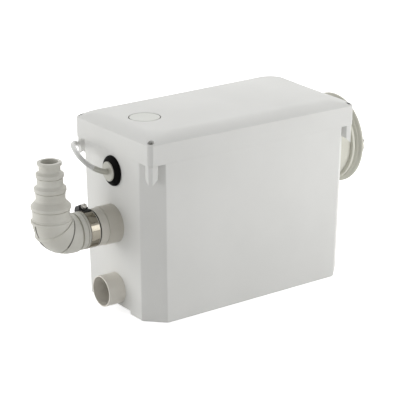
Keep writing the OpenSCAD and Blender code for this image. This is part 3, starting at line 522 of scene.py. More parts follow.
class FinishBook:
    """Makes each finish's material once, from shared node groups."""

    # Names and types of the inputs and outputs that every pattern's group has
    TAKES = {"Vector": "Vector", "Base": "Color", "Tint": "Color",
             "Grain Scale": "Float", "Cloud Scale": "Float"}
    GIVES = {"Color": "Color", "Gloss Mask": "Float", "Height": "Float"}
    # Depth of the relief at full strength, in metres
    BUMP_DEPTH = 0.0004

    def __init__(self) -> None:
        """Builds the shared node groups."""
        self.made: dict[str, bpy.types.Material] = {}
        self.groups = {
            Pattern.MOULDED: self.skin_group("moulded_skin", 0.35, 0.65),
            Pattern.RUBBER: self.skin_group("rubber_skin", 0.6, 0.4),
            Pattern.BRUSHED: self.brushed_group(),
            Pattern.LAYERED: self.lines_group("layered_sheets", "Z"),
            Pattern.WOUND: self.lines_group("wound_wire", "DIAGONAL"),
            Pattern.GRANULES: self.granule_group(),
        }

    def start(self, name: str) -> tuple[Graph, Any]:
        """Starts a shader group with the inputs and outputs that all patterns share."""
        return Graph.group(name, "Shader", self.TAKES, self.GIVES)

    @staticmethod
    def ended(graph: Graph, given: Any, mask: Socket, gloss: Socket, height: Socket) -> Tree:
        """Ends a pattern's group.

        Args:
            graph: The group's graph.
            given: Its inputs.
            mask: Share of the tint in the colour.
            gloss: Where the surface is rough.
            height: Its relief.

        Returns:
            The group.
        """
        blend = graph.add("ShaderNodeMix", {0: mask, 6: given["Base"], 7: given["Tint"]}, data_type="RGBA")
        graph.add("NodeGroupOutput", {"Color": blend.outputs[2], "Gloss Mask": gloss, "Height": height})
        return graph.tree

    def skin_group(self, name: str, fine: float, broad: float) -> Tree:
        """Moulded skin: broad soft clouds under a fine grain.

        Args:
            name: Name of the group.
            fine: Share of the fine grain in the relief.
            broad: Share of the broad waviness in the relief.

        Returns:
            The group.
        """
        graph, given = self.start(name)
        cloud = graph.noise(given["Vector"], given["Cloud Scale"], 3.0)
        grain = graph.noise(given["Vector"], given["Grain Scale"], 1.0)
        spread = graph.out("ShaderNodeMapRange", {"Value": cloud, "From Min": 0.3, "From Max": 0.7})
        speck = graph.math("MULTIPLY", graph.math("SUBTRACT", grain, 0.5), 0.3)
        mask = graph.out("ShaderNodeMath", {0: spread, 1: speck}, operation="ADD", use_clamp=True)
        return self.ended(graph, given, mask, graph.total(spread, 0.6, grain, 0.4),
                          graph.total(grain, fine, cloud, broad))

    def brushed_group(self) -> Tree:
        """Brushed metal: long scratches along the short axis of the stretched coordinates.

        Returns:
            The group.
        """
        graph, given = self.start("brushed_metal")
        streak = graph.noise(given["Vector"], given["Grain Scale"], 4.0)
        cloud = graph.noise(given["Vector"], given["Cloud Scale"])
        mask = graph.total(streak, 0.7, cloud, 0.3)
        return self.ended(graph, given, mask, mask, streak)

    def lines_group(self, name: str, direction: str) -> Tree:
        """Fine even lines, as of stacked sheets or wound wire.

        Args:
            name: Name of the group.
            direction: The way in which the lines follow each other.

        Returns:
            The group.
        """
        graph, given = self.start(name)
        wave = graph.add("ShaderNodeTexWave", {"Vector": given["Vector"], "Scale": given["Grain Scale"],
                                               "Distortion": 0.4}, bands_direction=direction).outputs[1]
        cloud = graph.noise(given["Vector"], given["Cloud Scale"])
        return self.ended(graph, given, graph.total(wave, 0.6, cloud, 0.4), cloud, wave)

    def granule_group(self) -> Tree:
        """Loose granules, each with its own shade.

        Returns:
            The group.
        """
        graph, given = self.start("granules")
        cell = graph.add("ShaderNodeTexVoronoi",
                         {"Vector": given["Vector"], "Scale": given["Grain Scale"]}).outputs
        cloud = graph.noise(given["Vector"], given["Cloud Scale"])
        mask = graph.total(graph.out("ShaderNodeSeparateColor", {0: cell["Color"]}), 0.8, cloud, 0.2)
        return self.ended(graph, given, mask, mask, graph.math("SUBTRACT", 1.0, cell["Distance"]))

    def material(self, finish: Finish) -> bpy.types.Material:
        """The material of a finish.

        Args:
            finish: The finish.

        Returns:
            Its material, made on the first call.
        """
        if finish.name in self.made:
            return self.made[finish.name]
        made = self.made[finish.name] = bpy.data.materials.new(finish.name)
        graph = Graph.cleared(made)
        place = graph.add("ShaderNodeTexCoord").outputs["Object"]
        if finish.stretch != (1.0, 1.0, 1.0):
            place = graph.out("ShaderNodeMapping", {"Vector": place, "Scale": finish.stretch})
        skin = graph.add("ShaderNodeGroup", node_tree=self.groups[finish.pattern])
        graph.tree.links.new(place, skin.inputs["Vector"])
        for key, value in (("Base", finish.base), ("Tint", finish.tint), ("Grain Scale", finish.grain),
                           ("Cloud Scale", finish.cloud)):
            skin.inputs[key].default_value = value
        low, high = finish.rough
        rough = graph.out("ShaderNodeMapRange", {"Value": skin.outputs["Gloss Mask"], "From Min": 0.25,
                                                 "From Max": 0.75, "To Min": low, "To Max": high})
        bump = graph.out("ShaderNodeBump", {"Strength": finish.relief, "Distance": self.BUMP_DEPTH,
                                            "Height": skin.outputs["Height"]})
        shader = graph.out("ShaderNodeBsdfPrincipled", {
            "Base Color": skin.outputs["Color"], "Roughness": rough, "Normal": bump,
            "Metallic": finish.metal, "Specular IOR Level": finish.specular})
        graph.add("ShaderNodeOutputMaterial", {"Surface": shader})
        return made


# The finishes: name, both colours and roughness, then pattern, grain, cloud, relief and metal if unusual
RUBBER, BRUSHED = Pattern.RUBBER, Pattern.BRUSHED
SHELL = Finish("shell_plastic", srgb(225, 225, 222), srgb(220, 220, 217), (0.58, 0.66), grain=900,
               relief=0.03, specular=0.24)
CAP = Finish("cap_plastic", srgb(226, 227, 222), srgb(220, 221, 215), (0.58, 0.66), grain=900,
             relief=0.03, specular=0.24)
TRIM = Finish("trim_plastic", srgb(206, 202, 192), srgb(198, 194, 183))
COLLAR = Finish("collar_plastic", srgb(217, 214, 205), srgb(209, 205, 195))
SPIGOT = Finish("spigot_plastic", srgb(231, 227, 218), srgb(223, 219, 209))
GLAND = Finish("gland_plastic", srgb(195, 194, 184), srgb(187, 186, 176))
ELBOW = Finish("elbow_rubber", srgb(210, 209, 201), srgb(202, 200, 191), (0.5, 0.62), RUBBER, 600, 30, 0.08)
GAITER = Finish("gaiter_rubber", srgb(209, 208, 197), srgb(200, 199, 187), (0.5, 0.62), RUBBER, 600, 20, 0.06)
BLACK = Finish("black_rubber", srgb(6, 6, 5), srgb(3, 3, 3), (0.6, 0.75), RUBBER, 700, 40, 0.1, specular=0.06)
LEAD = Finish("lead_sheath", srgb(219, 219, 216), srgb(211, 211, 208), (0.42, 0.55), RUBBER, 900, 60, 0.06)
PLUG = Finish("plug_moulding", srgb(196, 196, 192), srgb(186, 186, 181), (0.42, 0.55), RUBBER, 700, 50, 0.08)
STEEL = Finish("band_steel", srgb(152, 147, 135), srgb(126, 121, 110), (0.08, 0.14), BRUSHED, 9, 3, 0.02, 1.0,
               stretch=(260.0, 9.0, 9.0))
BRIGHT = Finish("bright_steel", srgb(205, 203, 198), srgb(165, 162, 156), (0.2, 0.36), BRUSHED,
                40, 12, 0.04, 1.0, stretch=(3.0, 3.0, 20.0))
SCREW = Finish("screw_zinc", srgb(176, 176, 172), srgb(136, 135, 130), (0.25, 0.42), BRUSHED,
               60, 15, 0.05, 0.9, stretch=(2.0, 2.0, 9.0))
BLADE = Finish("blade_steel", srgb(190, 190, 190), srgb(150, 150, 150), (0.2, 0.38), BRUSHED,
               40, 12, 0.06, 1.0, stretch=(3.0, 18.0, 3.0))
DARK = Finish("dark_steel", srgb(18, 17, 16), srgb(10, 10, 9), (0.32, 0.5), RUBBER, 900, 60, 0.08,
              specular=0.2)
SLOT = Finish("slot_shadow", srgb(30, 29, 27), srgb(18, 17, 16), (0.6, 0.8), RUBBER, 900, 90, 0.05)
# Painted shade: the dark strips that darken the elbow's grooves
GROOVE_SHADE = Finish("groove_shade", srgb(104, 101, 94), srgb(90, 87, 81), (0.6, 0.8), RUBBER, 900, 90, 0.05)
DECK = Finish("deck_plastic", srgb(150, 156, 164), srgb(139, 145, 153), (0.42, 0.56), grain=700, cloud=14,
              relief=0.06)
MOTOR = Finish("motor_enamel", srgb(58, 61, 66), srgb(46, 48, 53), (0.3, 0.46), grain=500, cloud=25,
               relief=0.09)
CAN = Finish("capacitor_can", srgb(214, 214, 210), srgb(200, 200, 196), (0.28, 0.4), grain=600, cloud=30,
             relief=0.03)
IRON = Finish("lamination_iron", srgb(128, 126, 122), srgb(92, 90, 87), (0.35, 0.55), Pattern.LAYERED,
              320, 30, 0.25, 0.9)
COPPER = Finish("winding_copper", srgb(190, 112, 62), srgb(142, 74, 36), (0.28, 0.45), Pattern.WOUND,
                260, 40, 0.3, 0.9)
CARBON = Finish("filter_carbon", srgb(38, 38, 38), srgb(18, 18, 18), (0.6, 0.85), Pattern.GRANULES,
                700, 40, 0.6)


class Workshop:
    """Holds the finishes and ties each piece to the frame."""

    def __init__(self) -> None:
        """Starts with the finishes and no pieces."""
        self.book = FinishBook()
        self.pieces: dict[str, Thing] = {}

    def dress(self, thing: Thing, finish: Finish) -> None:
        """Gives an object one finish."""
        thing.data.materials.clear()
        thing.data.materials.append(self.book.material(finish))

    def fit(self, thing: Thing, body: str, slot: str, finish: Finish, *nodes: str) -> Thing:
        """Dresses a piece and ties it to its body.

        Args:
            thing: The finished mesh or curve.
            body: The body that it rides on.
            slot: Its material slot in the record; not used.
            finish: What it is made of.
            nodes: The CAD nodes that it stands for.

        Returns:
            The same object.
        """
        self.dress(thing, finish)
        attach(thing, body)
        if nodes:
            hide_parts(*nodes)
        self.pieces[thing.name] = thing
        LOG.info("%s rides on %s and stands for %s", thing.name, body, ", ".join(nodes) or "no node")
        return thing


@dataclass
class Assembly:
    """A sub-assembly of the unit, built in a workshop."""

    shop: Workshop


# Repeated pieces


def grown(name: str, points: Sequence[Vector], tree: Tree, sizes: dict[str, float],
          metal: bpy.types.Material) -> Thing:
    """Runs a node tree on points and keeps its result as a plain mesh.

    Args:
        name: Name of the object.
        points: Points that the tree works on, in millimetres.
        tree: The node tree.
        sizes: Input name to a length in millimetres, or to a plain number for Count and angles.
        metal: The material input.

    Returns:
        The new object.
    """
    mesh = bpy.data.meshes.new(name)
    mesh.from_pydata([tuple(p * MM) for p in points], [], [])
    host = linked(name, mesh)
    work = host.modifiers.new("grow", "NODES")
    work.node_group = tree
    for item in tree.interface.items_tree:
        if item.in_out != "INPUT" or item.socket_type == "NodeSocketGeometry":
            continue
        if item.socket_type == "NodeSocketMaterial":
            work[item.identifier] = metal
        elif item.socket_type == "NodeSocketInt":
            work[item.identifier] = int(sizes[item.name])
        else:
            work[item.identifier] = sizes[item.name] * (1.0 if item.name.endswith("Angle") else MM)
    return baked(host)


@dataclass
class ScrewSet:
    """Equal screws with a cross recess, set on points by one node tree."""

    name: str
    head_r: float
    head_h: float
    shank_r: float
    shank_l: float

    # Narrow end of the head, and length and width of a recess bar, as shares of the head's radius
    TOP, BAR_L, BAR_W = 0.8, 1.15, 0.24
    # How far the shank reaches into the head, in metres, and the way the recess faces
    BITE, FACING = 0.0002, (0.0, 0.0, 0.6)

    def sizes(self) -> dict[str, float]:
        """The tree's inputs by name."""
        return {"Head Radius": self.head_r, "Head Height": self.head_h,
                "Shank Radius": self.shank_r, "Shank Length": self.shank_l}

    def tree(self) -> Tree:
        """Builds one screw and repeats it on the points.

        Returns:
            The group.
        """
        takes = {"Points": "Geometry", **dict.fromkeys(self.sizes(), "Float"), "Metal": "Material"}
        graph, given = Graph.group(self.name + "_nodes", "Geometry", takes, {"Screws": "Geometry"})
        radius, height, length = given["Head Radius"], given["Head Height"], given["Shank Length"]
        shares = (self.TOP, self.BAR_L, self.BAR_W)
        top, wide, thin = (graph.math("MULTIPLY", radius, share) for share in shares)
        head = graph.out("GeometryNodeMeshCone", {"Vertices": 32, "Side Segments": 1, "Radius Top": top,
                                                  "Radius Bottom": radius, "Depth": height})
        bars = [graph.shifted(graph.out("GeometryNodeMeshCube", {"Size": graph.xyz(X=x, Y=y, Z=height)}),
                              Translation=graph.xyz(Z=height)) for x, y in ((wide, thin), (thin, wide))]
        cut = graph.out("GeometryNodeMeshBoolean", {0: head, 1: graph.join(*bars)}, operation="DIFFERENCE")
        shank = graph.out("GeometryNodeMeshCylinder", {"Vertices": 24, "Radius": given["Shank Radius"],
                                                       "Depth": length})
        drop = graph.math("SUBTRACT", self.BITE, graph.math("MULTIPLY", length, 0.5))
        whole = graph.join(cut, graph.shifted(shank, Translation=graph.xyz(Z=drop)))
        return graph.repeat(given["Points"], whole, self.FACING, given["Metal"])

    def build(self, points: Sequence[Vector], metal: bpy.types.Material) -> Thing:
        """All screws, with their heads seated on points, as one mesh."""
        return shaded(grown(self.name, points, self.tree(), self.sizes(), metal), 30)


# Tank and lid


@dataclass
class Tank(Assembly):
    """The moulded tank: leaning walls, cut corners, skid feet, an inner rim and its inner ledges."""

    wall: float = 3.5
    draft: float = 3.0
    corner: float = 24.0
    edge: float = 3.0
    foot_round: float = 3.0
    foot_h: float = 6.0
    channel_half: float = 35.0
    channel_round: float = 4.0
    floor_z: float = 9.0
    rim_in: float = 3.2
    rim_t: float = 3.0
    rim_top: float = 233.0
    lip: float = 0.8

    # How much the leg of a cut corner shrinks with its inset
    CUT_SHARE = 0.5858
    # Height and inset of the wall's rings up to the seam
    WALL = ((60, 0), (140, 0), (215.05, 0), (215.23, 0.03), (215.27, 0.1))
    # A corner post from above, measured from the tank's corner, with its slanted foot and its top
    POST = ((5.3, 1.5), (12.5, 1.5), (18, 8.5), (8.5, 18), (1.5, 12.5), (1.5, 5.3))
    POST_FOOT, POST_SLANT, POST_TOP = 190.0, 0.9, 214.6
    # Radius of a post's screw hole, and the heights between which it is cut
    POST_HOLE = (2.1, 194, 220)
    # Front edges of the deck ledges, their depth, and their reach in length and height
    LEDGE_Y, LEDGE_D, LEDGE_X, LEDGE_Z = (74.0, -85.5), 11.5, (-140, 60), (139.7, 149.7)
    # Places of the basket posts, and a post's profile as radius and height
    BASKET_X, BASKET_Y = (-52.0, 136.0), (-60.0, 60.0)
    BASKET_POST = ((0, 8), (5.6, 8), (5, 12), (5, 51), (4.2, 51.8), (0, 51.8))
    # Middles of the flap ears, their half thickness, and their reach in length and height
    EAR_Y, EAR_HALF, EAR_X, EAR_Z = (-15.0, 7.0), 2, (-162.9, -154.5), (47.7, 55.7)
    # Openings for the outlet, the lead, the low inlet and the WC: axis, radius, and reach in and out
    BORES = ((OUTLET, 25.6, -20, 10), (LEAD_EXIT, 14.1, -12, 10),
             (LOW_INLET, 21, -6.5, 23), (WC_INLET, 42.6, -20, 10))

    def level(self, z: float, inset: float, inset_y: float | None = None) -> Ring:
        """The wall's outline at a height.

        Args:
            z: Height.
            inset: How far it is set in from the outer face at the ends.
            inset_y: The same at the front and back, if different.

        Returns:
            The outline.
        """
        lean = self.draft * max(0.0, SEAM_Z - z) / SEAM_Z
        side = inset if inset_y is None else inset_y
        cut = self.corner - self.CUT_SHARE * (inset if inset_y is None else 0.0)
        return cut_rectangle(HALF_L - lean - inset, HALF_D - lean - side, cut, self.edge, z)

    def shell(self) -> Thing:
        """Builds the tank's skin, outside and inside.

        Returns:
            One closed skin.
        """
        rings: list[Ring] = []
        for k in range(9):
            a = math.radians(90 * k / 8)
            s = self.foot_round * (1 - math.sin(a))
            rings.append(self.level(self.foot_round * (1 - math.cos(a)), s, 0.2 * s))
        outer, inner, top = self.rim_in, self.rim_in + self.rim_t, self.rim_top
        rim = [(215.27, outer), (top - self.lip, outer), (top, outer + self.lip), (top, inner - self.lip),
               (top - self.lip, inner), (207, inner)]
        wall, floor = self.wall, self.floor_z
        inside = [(205, wall), (100, wall), (floor + 3, wall), (floor, wall + 3)]
        return loft("tank_shell", rings + [self.level(z, s) for z, s in (*self.WALL, *rim, *inside)])

    def channel(self) -> Thing:
        """Builds the channel between the skid feet.

        Returns:
            A shape to cut.
        """
        half, r = self.channel_half, self.channel_round
        turns = [math.radians(9 * k) for k in range(11)]
        line = [(half, self.foot_h), *((half + r * (1 - math.cos(a)), r * (1 - math.sin(a))) for a in turns),
                (half + r, -2.0)]
        line += [(-y, z) for y, z in reversed(line)]
        return loft("channel", [[tank_point(x, y, z) for y, z in line] for x in (-180.0, 180.0)])

    def inside(self) -> list[Thing]:
        """Builds corner posts with slanted feet, deck ledges, basket posts and flap ears.

        Returns:
            The pieces.
        """
        made: list[Thing] = []
        post = fillet_line([(x, y, 1.0) for x, y in self.POST], True, 3)
        feet = [self.POST_FOOT + self.POST_SLANT * max(0.0, max(p) - 5) for p in post]
        for (i, j), screw in zip(CORNERS, SCREW_AT):
            rings = [[tank_point(i * (x - HALF_L), j * (y - HALF_D), z) for (x, y), z in zip(post, heights)]
                     for heights in (feet, [self.POST_TOP] * len(post))]
            hole = upright_axis(*screw, 0).rod(*self.POST_HOLE, 32)
            made.append(carved(loft("post", rings), [hole]))
        ground = upright_axis(0, 0, 0)
        for y in self.LEDGE_Y:
            made.append(rounded_box("ledge", ground, self.LEDGE_X, (y, y + self.LEDGE_D), self.LEDGE_Z, 1.0))
        for x in self.BASKET_X:
            for y in self.BASKET_Y:
                made.append(upright_axis(x, y, 0).turned("basket_post", self.BASKET_POST, 40, True))
        for y in self.EAR_Y:
            across = (y - self.EAR_HALF, y + self.EAR_HALF)
            made.append(rounded_box("flap_ear", ground, self.EAR_X, across, self.EAR_Z, 0.8))
        return made

    def build(self) -> None:
        """Builds the tank and dresses it."""
        bores = [axis.rod(*size) for axis, *size in self.BORES]
        tank = joined(carved(self.shell(), [self.channel(), *bores]), self.inside())
        self.shop.fit(shaded(tank, 32, 60), "tank_group", "shell", SHELL, "tank")


@dataclass
class Lid(Assembly):
    """The lift-off lid: a skirt, a domed crown, a flat top with the vent, and four corner screws."""

    skirt_z: float = 242.0
    top_z: float = 251.8
    crown_w: float = 24.0
    crown_steps: int = 24
    cut: float = 5.5
    softness: float = 0.35
    back_share: float = 0.35
    vent_x: float = -115.0
    vent_r: float = 19.9
    mouth_r: float = 21.3
    seat_z: float = 241.3
    corner_steps: int = 10

    # Rings of the underside as inset, leg and roundness of the corners, and height
    UNDER = ((20, 12, 1, 248.3), (20, 12, 1, 247.0), (20, 12, 1, 238.0), (19, 12, 1, 236.2),
             (3.6, 20.4, 0, 236.2), (2.8, 20.4, 0, 235.4), (2.8, 20.4, 0, 230.0), (2.8, 6.5, 0.35, 216.0),
             (2.2, 6.2, 0.35, 215.3))
    # Rings of the skirt as inset and height, and of its upper edge, counted from where the crown starts
    SKIRT = ((0.08, 215.3), (0.02, 215.33), (0, 215.4), (0, 228.0))
    EDGE = ((0, -0.6), (0.08, -0.2), (0.3, 0.13))
    # A screw's bore with the wider hole over its head, as radius and height
    BORE = ((0, 210), (2.3, 210), (2.3, 241.2), (4.2, 241.2), (4.2, 262), (0, 262))

    def ring(self, inset: float, leg: float, roundness: float, z: float, full: float = 1.0) -> Ring:
        """One outline of the lid.

        Args:
            inset: How far it is set in.
            leg: Leg of the corner.
            roundness: 0 for a cut corner, 1 for a round one.
            z: Height.
            full: Share of the inset at the back corner of the WC end, where the crown is fuller.

        Returns:
            The outline.
        """
        line: Ring = []
        for q, (mx, my) in enumerate(((1, 1), (-1, 1), (-1, -1), (1, -1))):
            s = inset * (full if q == 0 else 1.0)
            middle = Vector((mx * (HALF_L - s - leg), my * (HALF_D - s - leg)))
            turns = [math.tau / 4 * (q + j / self.corner_steps) for j in range(self.corner_steps + 1)]
            arc = [middle + leg * Vector((math.cos(a), math.sin(a))) for a in turns]
            for j, p in enumerate(arc):
                p = arc[0].lerp(arc[-1], j / self.corner_steps).lerp(p, roundness)
                line.append(tank_point(p.x, p.y, z))
        return line

    def shell(self) -> Thing:
        """Builds the lid's skin, from the underside of the top over the skirt to the top.

        Returns:
            One closed skin.
        """
        skirt = [*self.SKIRT, *((s, self.skirt_z + z) for s, z in self.EDGE)]
        rings = [self.ring(*sizes) for sizes in self.UNDER]
        rings += [self.ring(s, self.cut, self.softness, z) for s, z in skirt]
        for k in range(1, self.crown_steps + 1):
            f = k / self.crown_steps
            rise = 1 - (1 - f) ** 2
            s = self.crown_w * f
            rings.append(self.ring(s, self.cut + 0.8 * s, max(self.softness, math.sqrt(rise)),
                                   self.skirt_z + (self.top_z - self.skirt_z) * rise, self.back_share))
        return loft("lid_shell", rings)

    def build(self) -> None:
        """Builds the lid, its vent cap and its screws, and dresses them."""
        shop, r, m = self.shop, self.vent_r, self.mouth_r
        vent = upright_axis(self.vent_x, 0, self.top_z)
        boss = vent.turned("vent_boss", [(m - 1.2, -5), (m - 1.2, -21), (0, -21), (0, -24), (m + 4.7, -24),
                                         (m + 4.7, -3.4), (m, -3.4), (m, -5)])
        mouth = vent.turned("cut", [(0, -10), (m, -10), (m, -0.15), (m + 0.15, 0), (m + 0.15, 9), (0, 9)],
                            solid=True)
        bores = [upright_axis(x, y, 0).turned("cut", self.BORE, 40, True) for x, y in SCREW_AT]
        lid = joined(carved(self.shell(), [mouth, *bores]), [boss])
        shop.fit(shaded(lid, 34, 60), "lid_group", "shell", SHELL, "lid")
        cap = [(0, -3, 0), (r - 3.5, -3, 0.4), (r - 3.5, -11, 0.3), (r - 1.5, -11, 0.3), (r - 1.5, -4.9, 0),
               (r, -4.9, 0.2), (r, 0, 0.7), (0, 0, 0)]
        disc = shaded(vent.lathe("vent_cap_disc", cap, 128, solid=True))
        shop.fit(disc, "vent_cap_part", "cap", CAP, "vent_cap")
        screws = ScrewSet("lid_screw_set", head_r=3.7, head_h=2.6, shank_r=2.0, shank_l=46.0)
        seats = [tank_point(x, y, self.seat_z) for x, y in SCREW_AT]
        made = screws.build(seats, shop.book.material(SCREW))
        shop.fit(made, "lid_group", "dark_steel", SCREW, "lid_screws")


# Discharge


@dataclass
class Elbow(Assembly):
    """The swivelling rubber elbow: a grooved cuff, a bend of three segments and a stepped nozzle."""

    cuff_h: float = 31.2
    shoulder_h: float = 59.5
    bend_h: float = 65.0
    bore_r: float = 20.0
    nose_bore: float = 20.65
    bend_r: float = 25.5
    stem_x: float = -257.5
    sides: int = 120
    part_depth: float = 3.0
    part_turn: float = -4.0

    # Outlines of the cuff as radius, distance from the wall and rounding; of the bend as radius and degrees
    # from its horizontal end; and of the nozzle as radius, height above the discharge axis and rounding
    CUFF = ((24.35, 32.4, 0.3), (24.35, 33.1, 0.2), (24.0, 33.3, 0.1), (24.0, 45.9, 0.1), (23.4, 46.0, 0.1),
            (23.4, 46.9, 0.1), (24.7, 47.0, 0.3), (24.7, 48.9, 0.3), (23.4, 49.0, 0.1), (23.4, 50.1, 0.1),
            (24.7, 50.2, 0.3), (24.5, 56.2, 0.3), (21.9, 56.6, 0.1), (21.9, 59.3, 0.1), (25.7, 59.5, 0.4),
            (25.8, 65, 0))
    BEND = ((25.85, 4), (25.9, 9), (25.95, 14), (25.95, 19), (25.9, 22), (24, 22.4), (24, 25), (26, 25.4),
            (26.2, 30), (26.3, 36), (26.35, 42), (26.3, 48), (26.2, 54), (26.1, 58.2), (26.9, 58.9),
            (26.95, 61), (26.5, 61.7), (24.9, 62.4), (24.9, 63.4), (24.85, 66), (24.8, 72), (24.7, 78),
            (24.5, 84), (24.3, 90))
    STEM = ((24.2, 25.8, 0), (23.7, 26.4, 0.3), (23.7, 34.6, 0.1), (24.1, 34.9, 0.1), (24.1, 37.8, 0.1),
            (23.2, 38.0, 0.1), (23.2, 38.8, 0.1), (25.4, 39.0, 0.5), (25.4, 43.0, 0.9), (19.6, 49.4, 1.2),
            (18.9, 51.2, 1.5), (18.9, 57.5, 0.1), (19.2, 57.8, 0.1), (19.2, 60.5, 0.1), (18.2, 60.7, 0.1),
            (18.2, 61.6, 0.1), (20.45, 61.8, 0.45), (20.45, 66.4, 0.7), (17.2, 69.6, 0.8), (16.6, 70.8, 0.9),
            (16.6, 79.0, 0.1), (15.8, 79.2, 0.1), (15.8, 80.1, 0.1), (17.8, 80.3, 0.45), (17.8, 84.8, 0.6),
            (14.3, 87.4, 0.6), (13.75, 88.4, 0.7), (13.75, 95.0, 0.3), (15.5, 95.9, 0.3), (15.5, 99.6, 0.3),
            (14.4, 100, 0.3), (11.5, 100, 0.4), (11.0, 99.4, 0))
    # The nozzle's bore and the ring below it, measured as the nozzle is, and the black seal ring that also
    # paints the shade of the gap between cuff and collar, as the cuff is
    BORE = ((11.0, 86.0), (14.0, 83.0), (14.0, 68.0), (16.2, 65.0), (16.2, 47.0), (20.0, 42.0), (20.0, 25.6))
    NECK = ((22, 20.4, 0), (25.7, 20.4, 0.3), (26, 21.2, 0.3), (26, 23.6, 0.4), (24.2, 24.6, 0.3),
            (22, 24.6, 0))
    SEAL_AND_GAP_SHADE = ((22.5, 31.0, 0), (24.1, 31.0, 0.3), (24.1, 32.35, 0.3), (22.5, 32.35, 0))
    # Degrees of the bend that the parting groove covers, and its strips of painted shade: both ends, radius
    # and half width
    GROOVED = ((12, 57), (63, 88))
    SEAM_SHADE_STRIPS = ((27, 55, 26.38, 5.0), (65, 87, 24.5, 3.3))
    # The arc groove's degrees along the bend, and of its strip of painted shade the turns, half width, and
    # radii of its floor and top
    ARC_AT, ARC_TURNS, ARC_HALF, ARC_R = 23.7, range(-152, -58, 3), 0.75, (25, 26.25)
    # Edges of the parting groove in degrees round the bend, and the half width within which it is deep
    GROOVE_EDGES, GROOVE_HALF = (-3.7, -3.4, 0.0, 3.4, 3.7), 3.5
    # How far the rings keep off the bend's inner corner
    CORNER_GAP = 0.15

    def straight(self, line: Sequence[Vec2]) -> list[Ring]:
        """Rings of the horizontal cuff from points as (radius, distance from the wall)."""
        return [self.circle(OUTLET.foot + OUTLET.out * h, -Z, r) for r, h in line]

    def bent(self, line: Sequence[Vec2], grooved: bool = False) -> list[Ring]:
        """Rings of the bend.

        Args:
            line: Points as (radius, degrees from its horizontal end).
            grooved: Whether they show the parting groove.

        Returns:
            The rings.
        """
        rings = []
        for r, a in line:
            deep = grooved and any(low < a < high for low, high in self.GROOVED)
            depth = self.part_depth if deep else 0.0
            rings.append(self.circle(self.bend_point(0, a, 0), self.outward(a), r, depth))
        return rings

    def upright(self, line: Sequence[Vec2]) -> list[Ring]:
        """Rings of the nozzle from points as (radius, height above the discharge axis)."""
        return [self.circle(tank_point(self.stem_x, 0, OUTLET.foot.z + h), -X, r) for r, h in line]

    def circle(self, middle: Vector, out: Vector, radius: float, depth: float = 0.0) -> Ring:
        """One ring round a point, from the outer side of the bend through the back.

        Args:
            middle: Its middle.
            out: The way to the outer side.
            radius: Its radius.
            depth: Depth of the parting groove on the outer side.

        Returns:
            The ring, with close points beside the groove and kept off the bend's inner corner.
        """
        turns = [self.part_turn + t for t in self.GROOVE_EDGES]
        turns += [360.0 * k / self.sides for k in range(1, self.sides - 3)]
        ring = []
        for turn in turns:
            a = math.radians(turn)
            r = radius - (depth if abs(turn - self.part_turn) < self.GROOVE_HALF else 0.0)
            reach = max(r * math.cos(a), self.CORNER_GAP - self.bend_r)
            ring.append(middle + out * reach + Y * (r * math.sin(a)))
        return ring

    @staticmethod
    def outward(degrees: float) -> Vector:
        """The way to the bend's outer side at degrees from its horizontal end."""
        return Vector((-math.sin(math.radians(degrees)), 0, -math.cos(math.radians(degrees))))

    def bend_point(self, radius: float, degrees: float, turn: float) -> Vector:
        """Finds a point of the bend.

        Args:
            radius: Its distance from the bend's middle line.
            degrees: Degrees from the bend's horizontal end.
            turn: Degrees from the bend's outer side.

        Returns:
            The point, in millimetres.
        """
        t = math.radians(turn)
        middle = tank_point(self.stem_x + self.bend_r, 0, OUTLET.foot.z + self.bend_r)
        reach = self.bend_r + radius * math.cos(t)
        return middle + self.outward(degrees) * reach + Y * (radius * math.sin(t))

    def rings(self) -> list[Ring]:
        """Follows the skin from the cuff's lip to the nozzle's mouth and back through the bore.

        Returns:
            Its rings.
        """
        c, s, n = self.cuff_h, self.shoulder_h, self.nose_bore
        cuff = fillet_line([(22.4, c, 0), (22.4, c + 1.1, 0), *self.CUFF], False, 3)
        bore = [(self.bore_r, float(a)) for a in range(85, 0, -5)]
        back = [(20.0, self.bend_h), (20.0, s - 2.4), (n, s - 3.0), (n, c + 0.6), (21.2, c)]
        stem = fillet_line(self.STEM, False, 4)
        return (self.straight(cuff) + self.bent(self.BEND, True) + self.upright(stem)
                + self.upright(self.BORE) + self.bent(bore) + self.straight(back))

    def painted_seam_shade(self) -> Thing:
        """Builds dark strips of painted shade in the parting groove and in the arc groove on the bend's
        front.

        Returns:
            Both as one mesh.
        """
        p, bars = self.part_turn, []
        for first, last, high, half in self.SEAM_SHADE_STRIPS:
            section = ((22.6, -half), (high, -half), (high, half), (22.6, half))
            bars.append([[self.bend_point(r, a, p + t) for r, t in section]
                         for a in range(first, last + 1, 2)])
        arc = []
        low, high = self.ARC_R
        for t in self.ARC_TURNS:
            half = min(8.0, math.degrees(self.ARC_HALF / (self.bend_r + 26 * math.cos(math.radians(t)))))
            section = ((low, -half), (high, -half), (high, half), (low, half))
            arc.append([self.bend_point(r, self.ARC_AT + a, t) for r, a in section])
        made = [loft("bend_seam_shade", rings) for rings in (*bars, arc)]
        return shaded(joined(made[0], made[1:]))

    def build(self) -> None:
        """Builds the elbow with the ring below its nozzle, the painted shade in its grooves and its black
        seal ring, which also paints the shade of the cuff gap, and dresses them.
        """
        elbow = loft("elbow_moulding", self.rings(), closed=True)
        neck = upright_axis(self.stem_x, 0, OUTLET.foot.z).lathe("neck", self.NECK, self.sides, 3)
        fit, group = self.shop.fit, "elbow_group"
        fit(shaded(joined(elbow, [neck]), 34), group, "elbow_rubber", ELBOW, "discharge_elbow")
        # Dark strips of painted shade in the elbow's grooves
        fit(self.painted_seam_shade(), group, "black_rubber", GROOVE_SHADE)
        # Black seal ring in the cuff gap, whose black is also painted shade of the gap
        fit(shaded(OUTLET.lathe("cuff_seal_gap_shade", self.SEAL_AND_GAP_SHADE, self.sides, 3)), group, "black_rubber", BLACK)


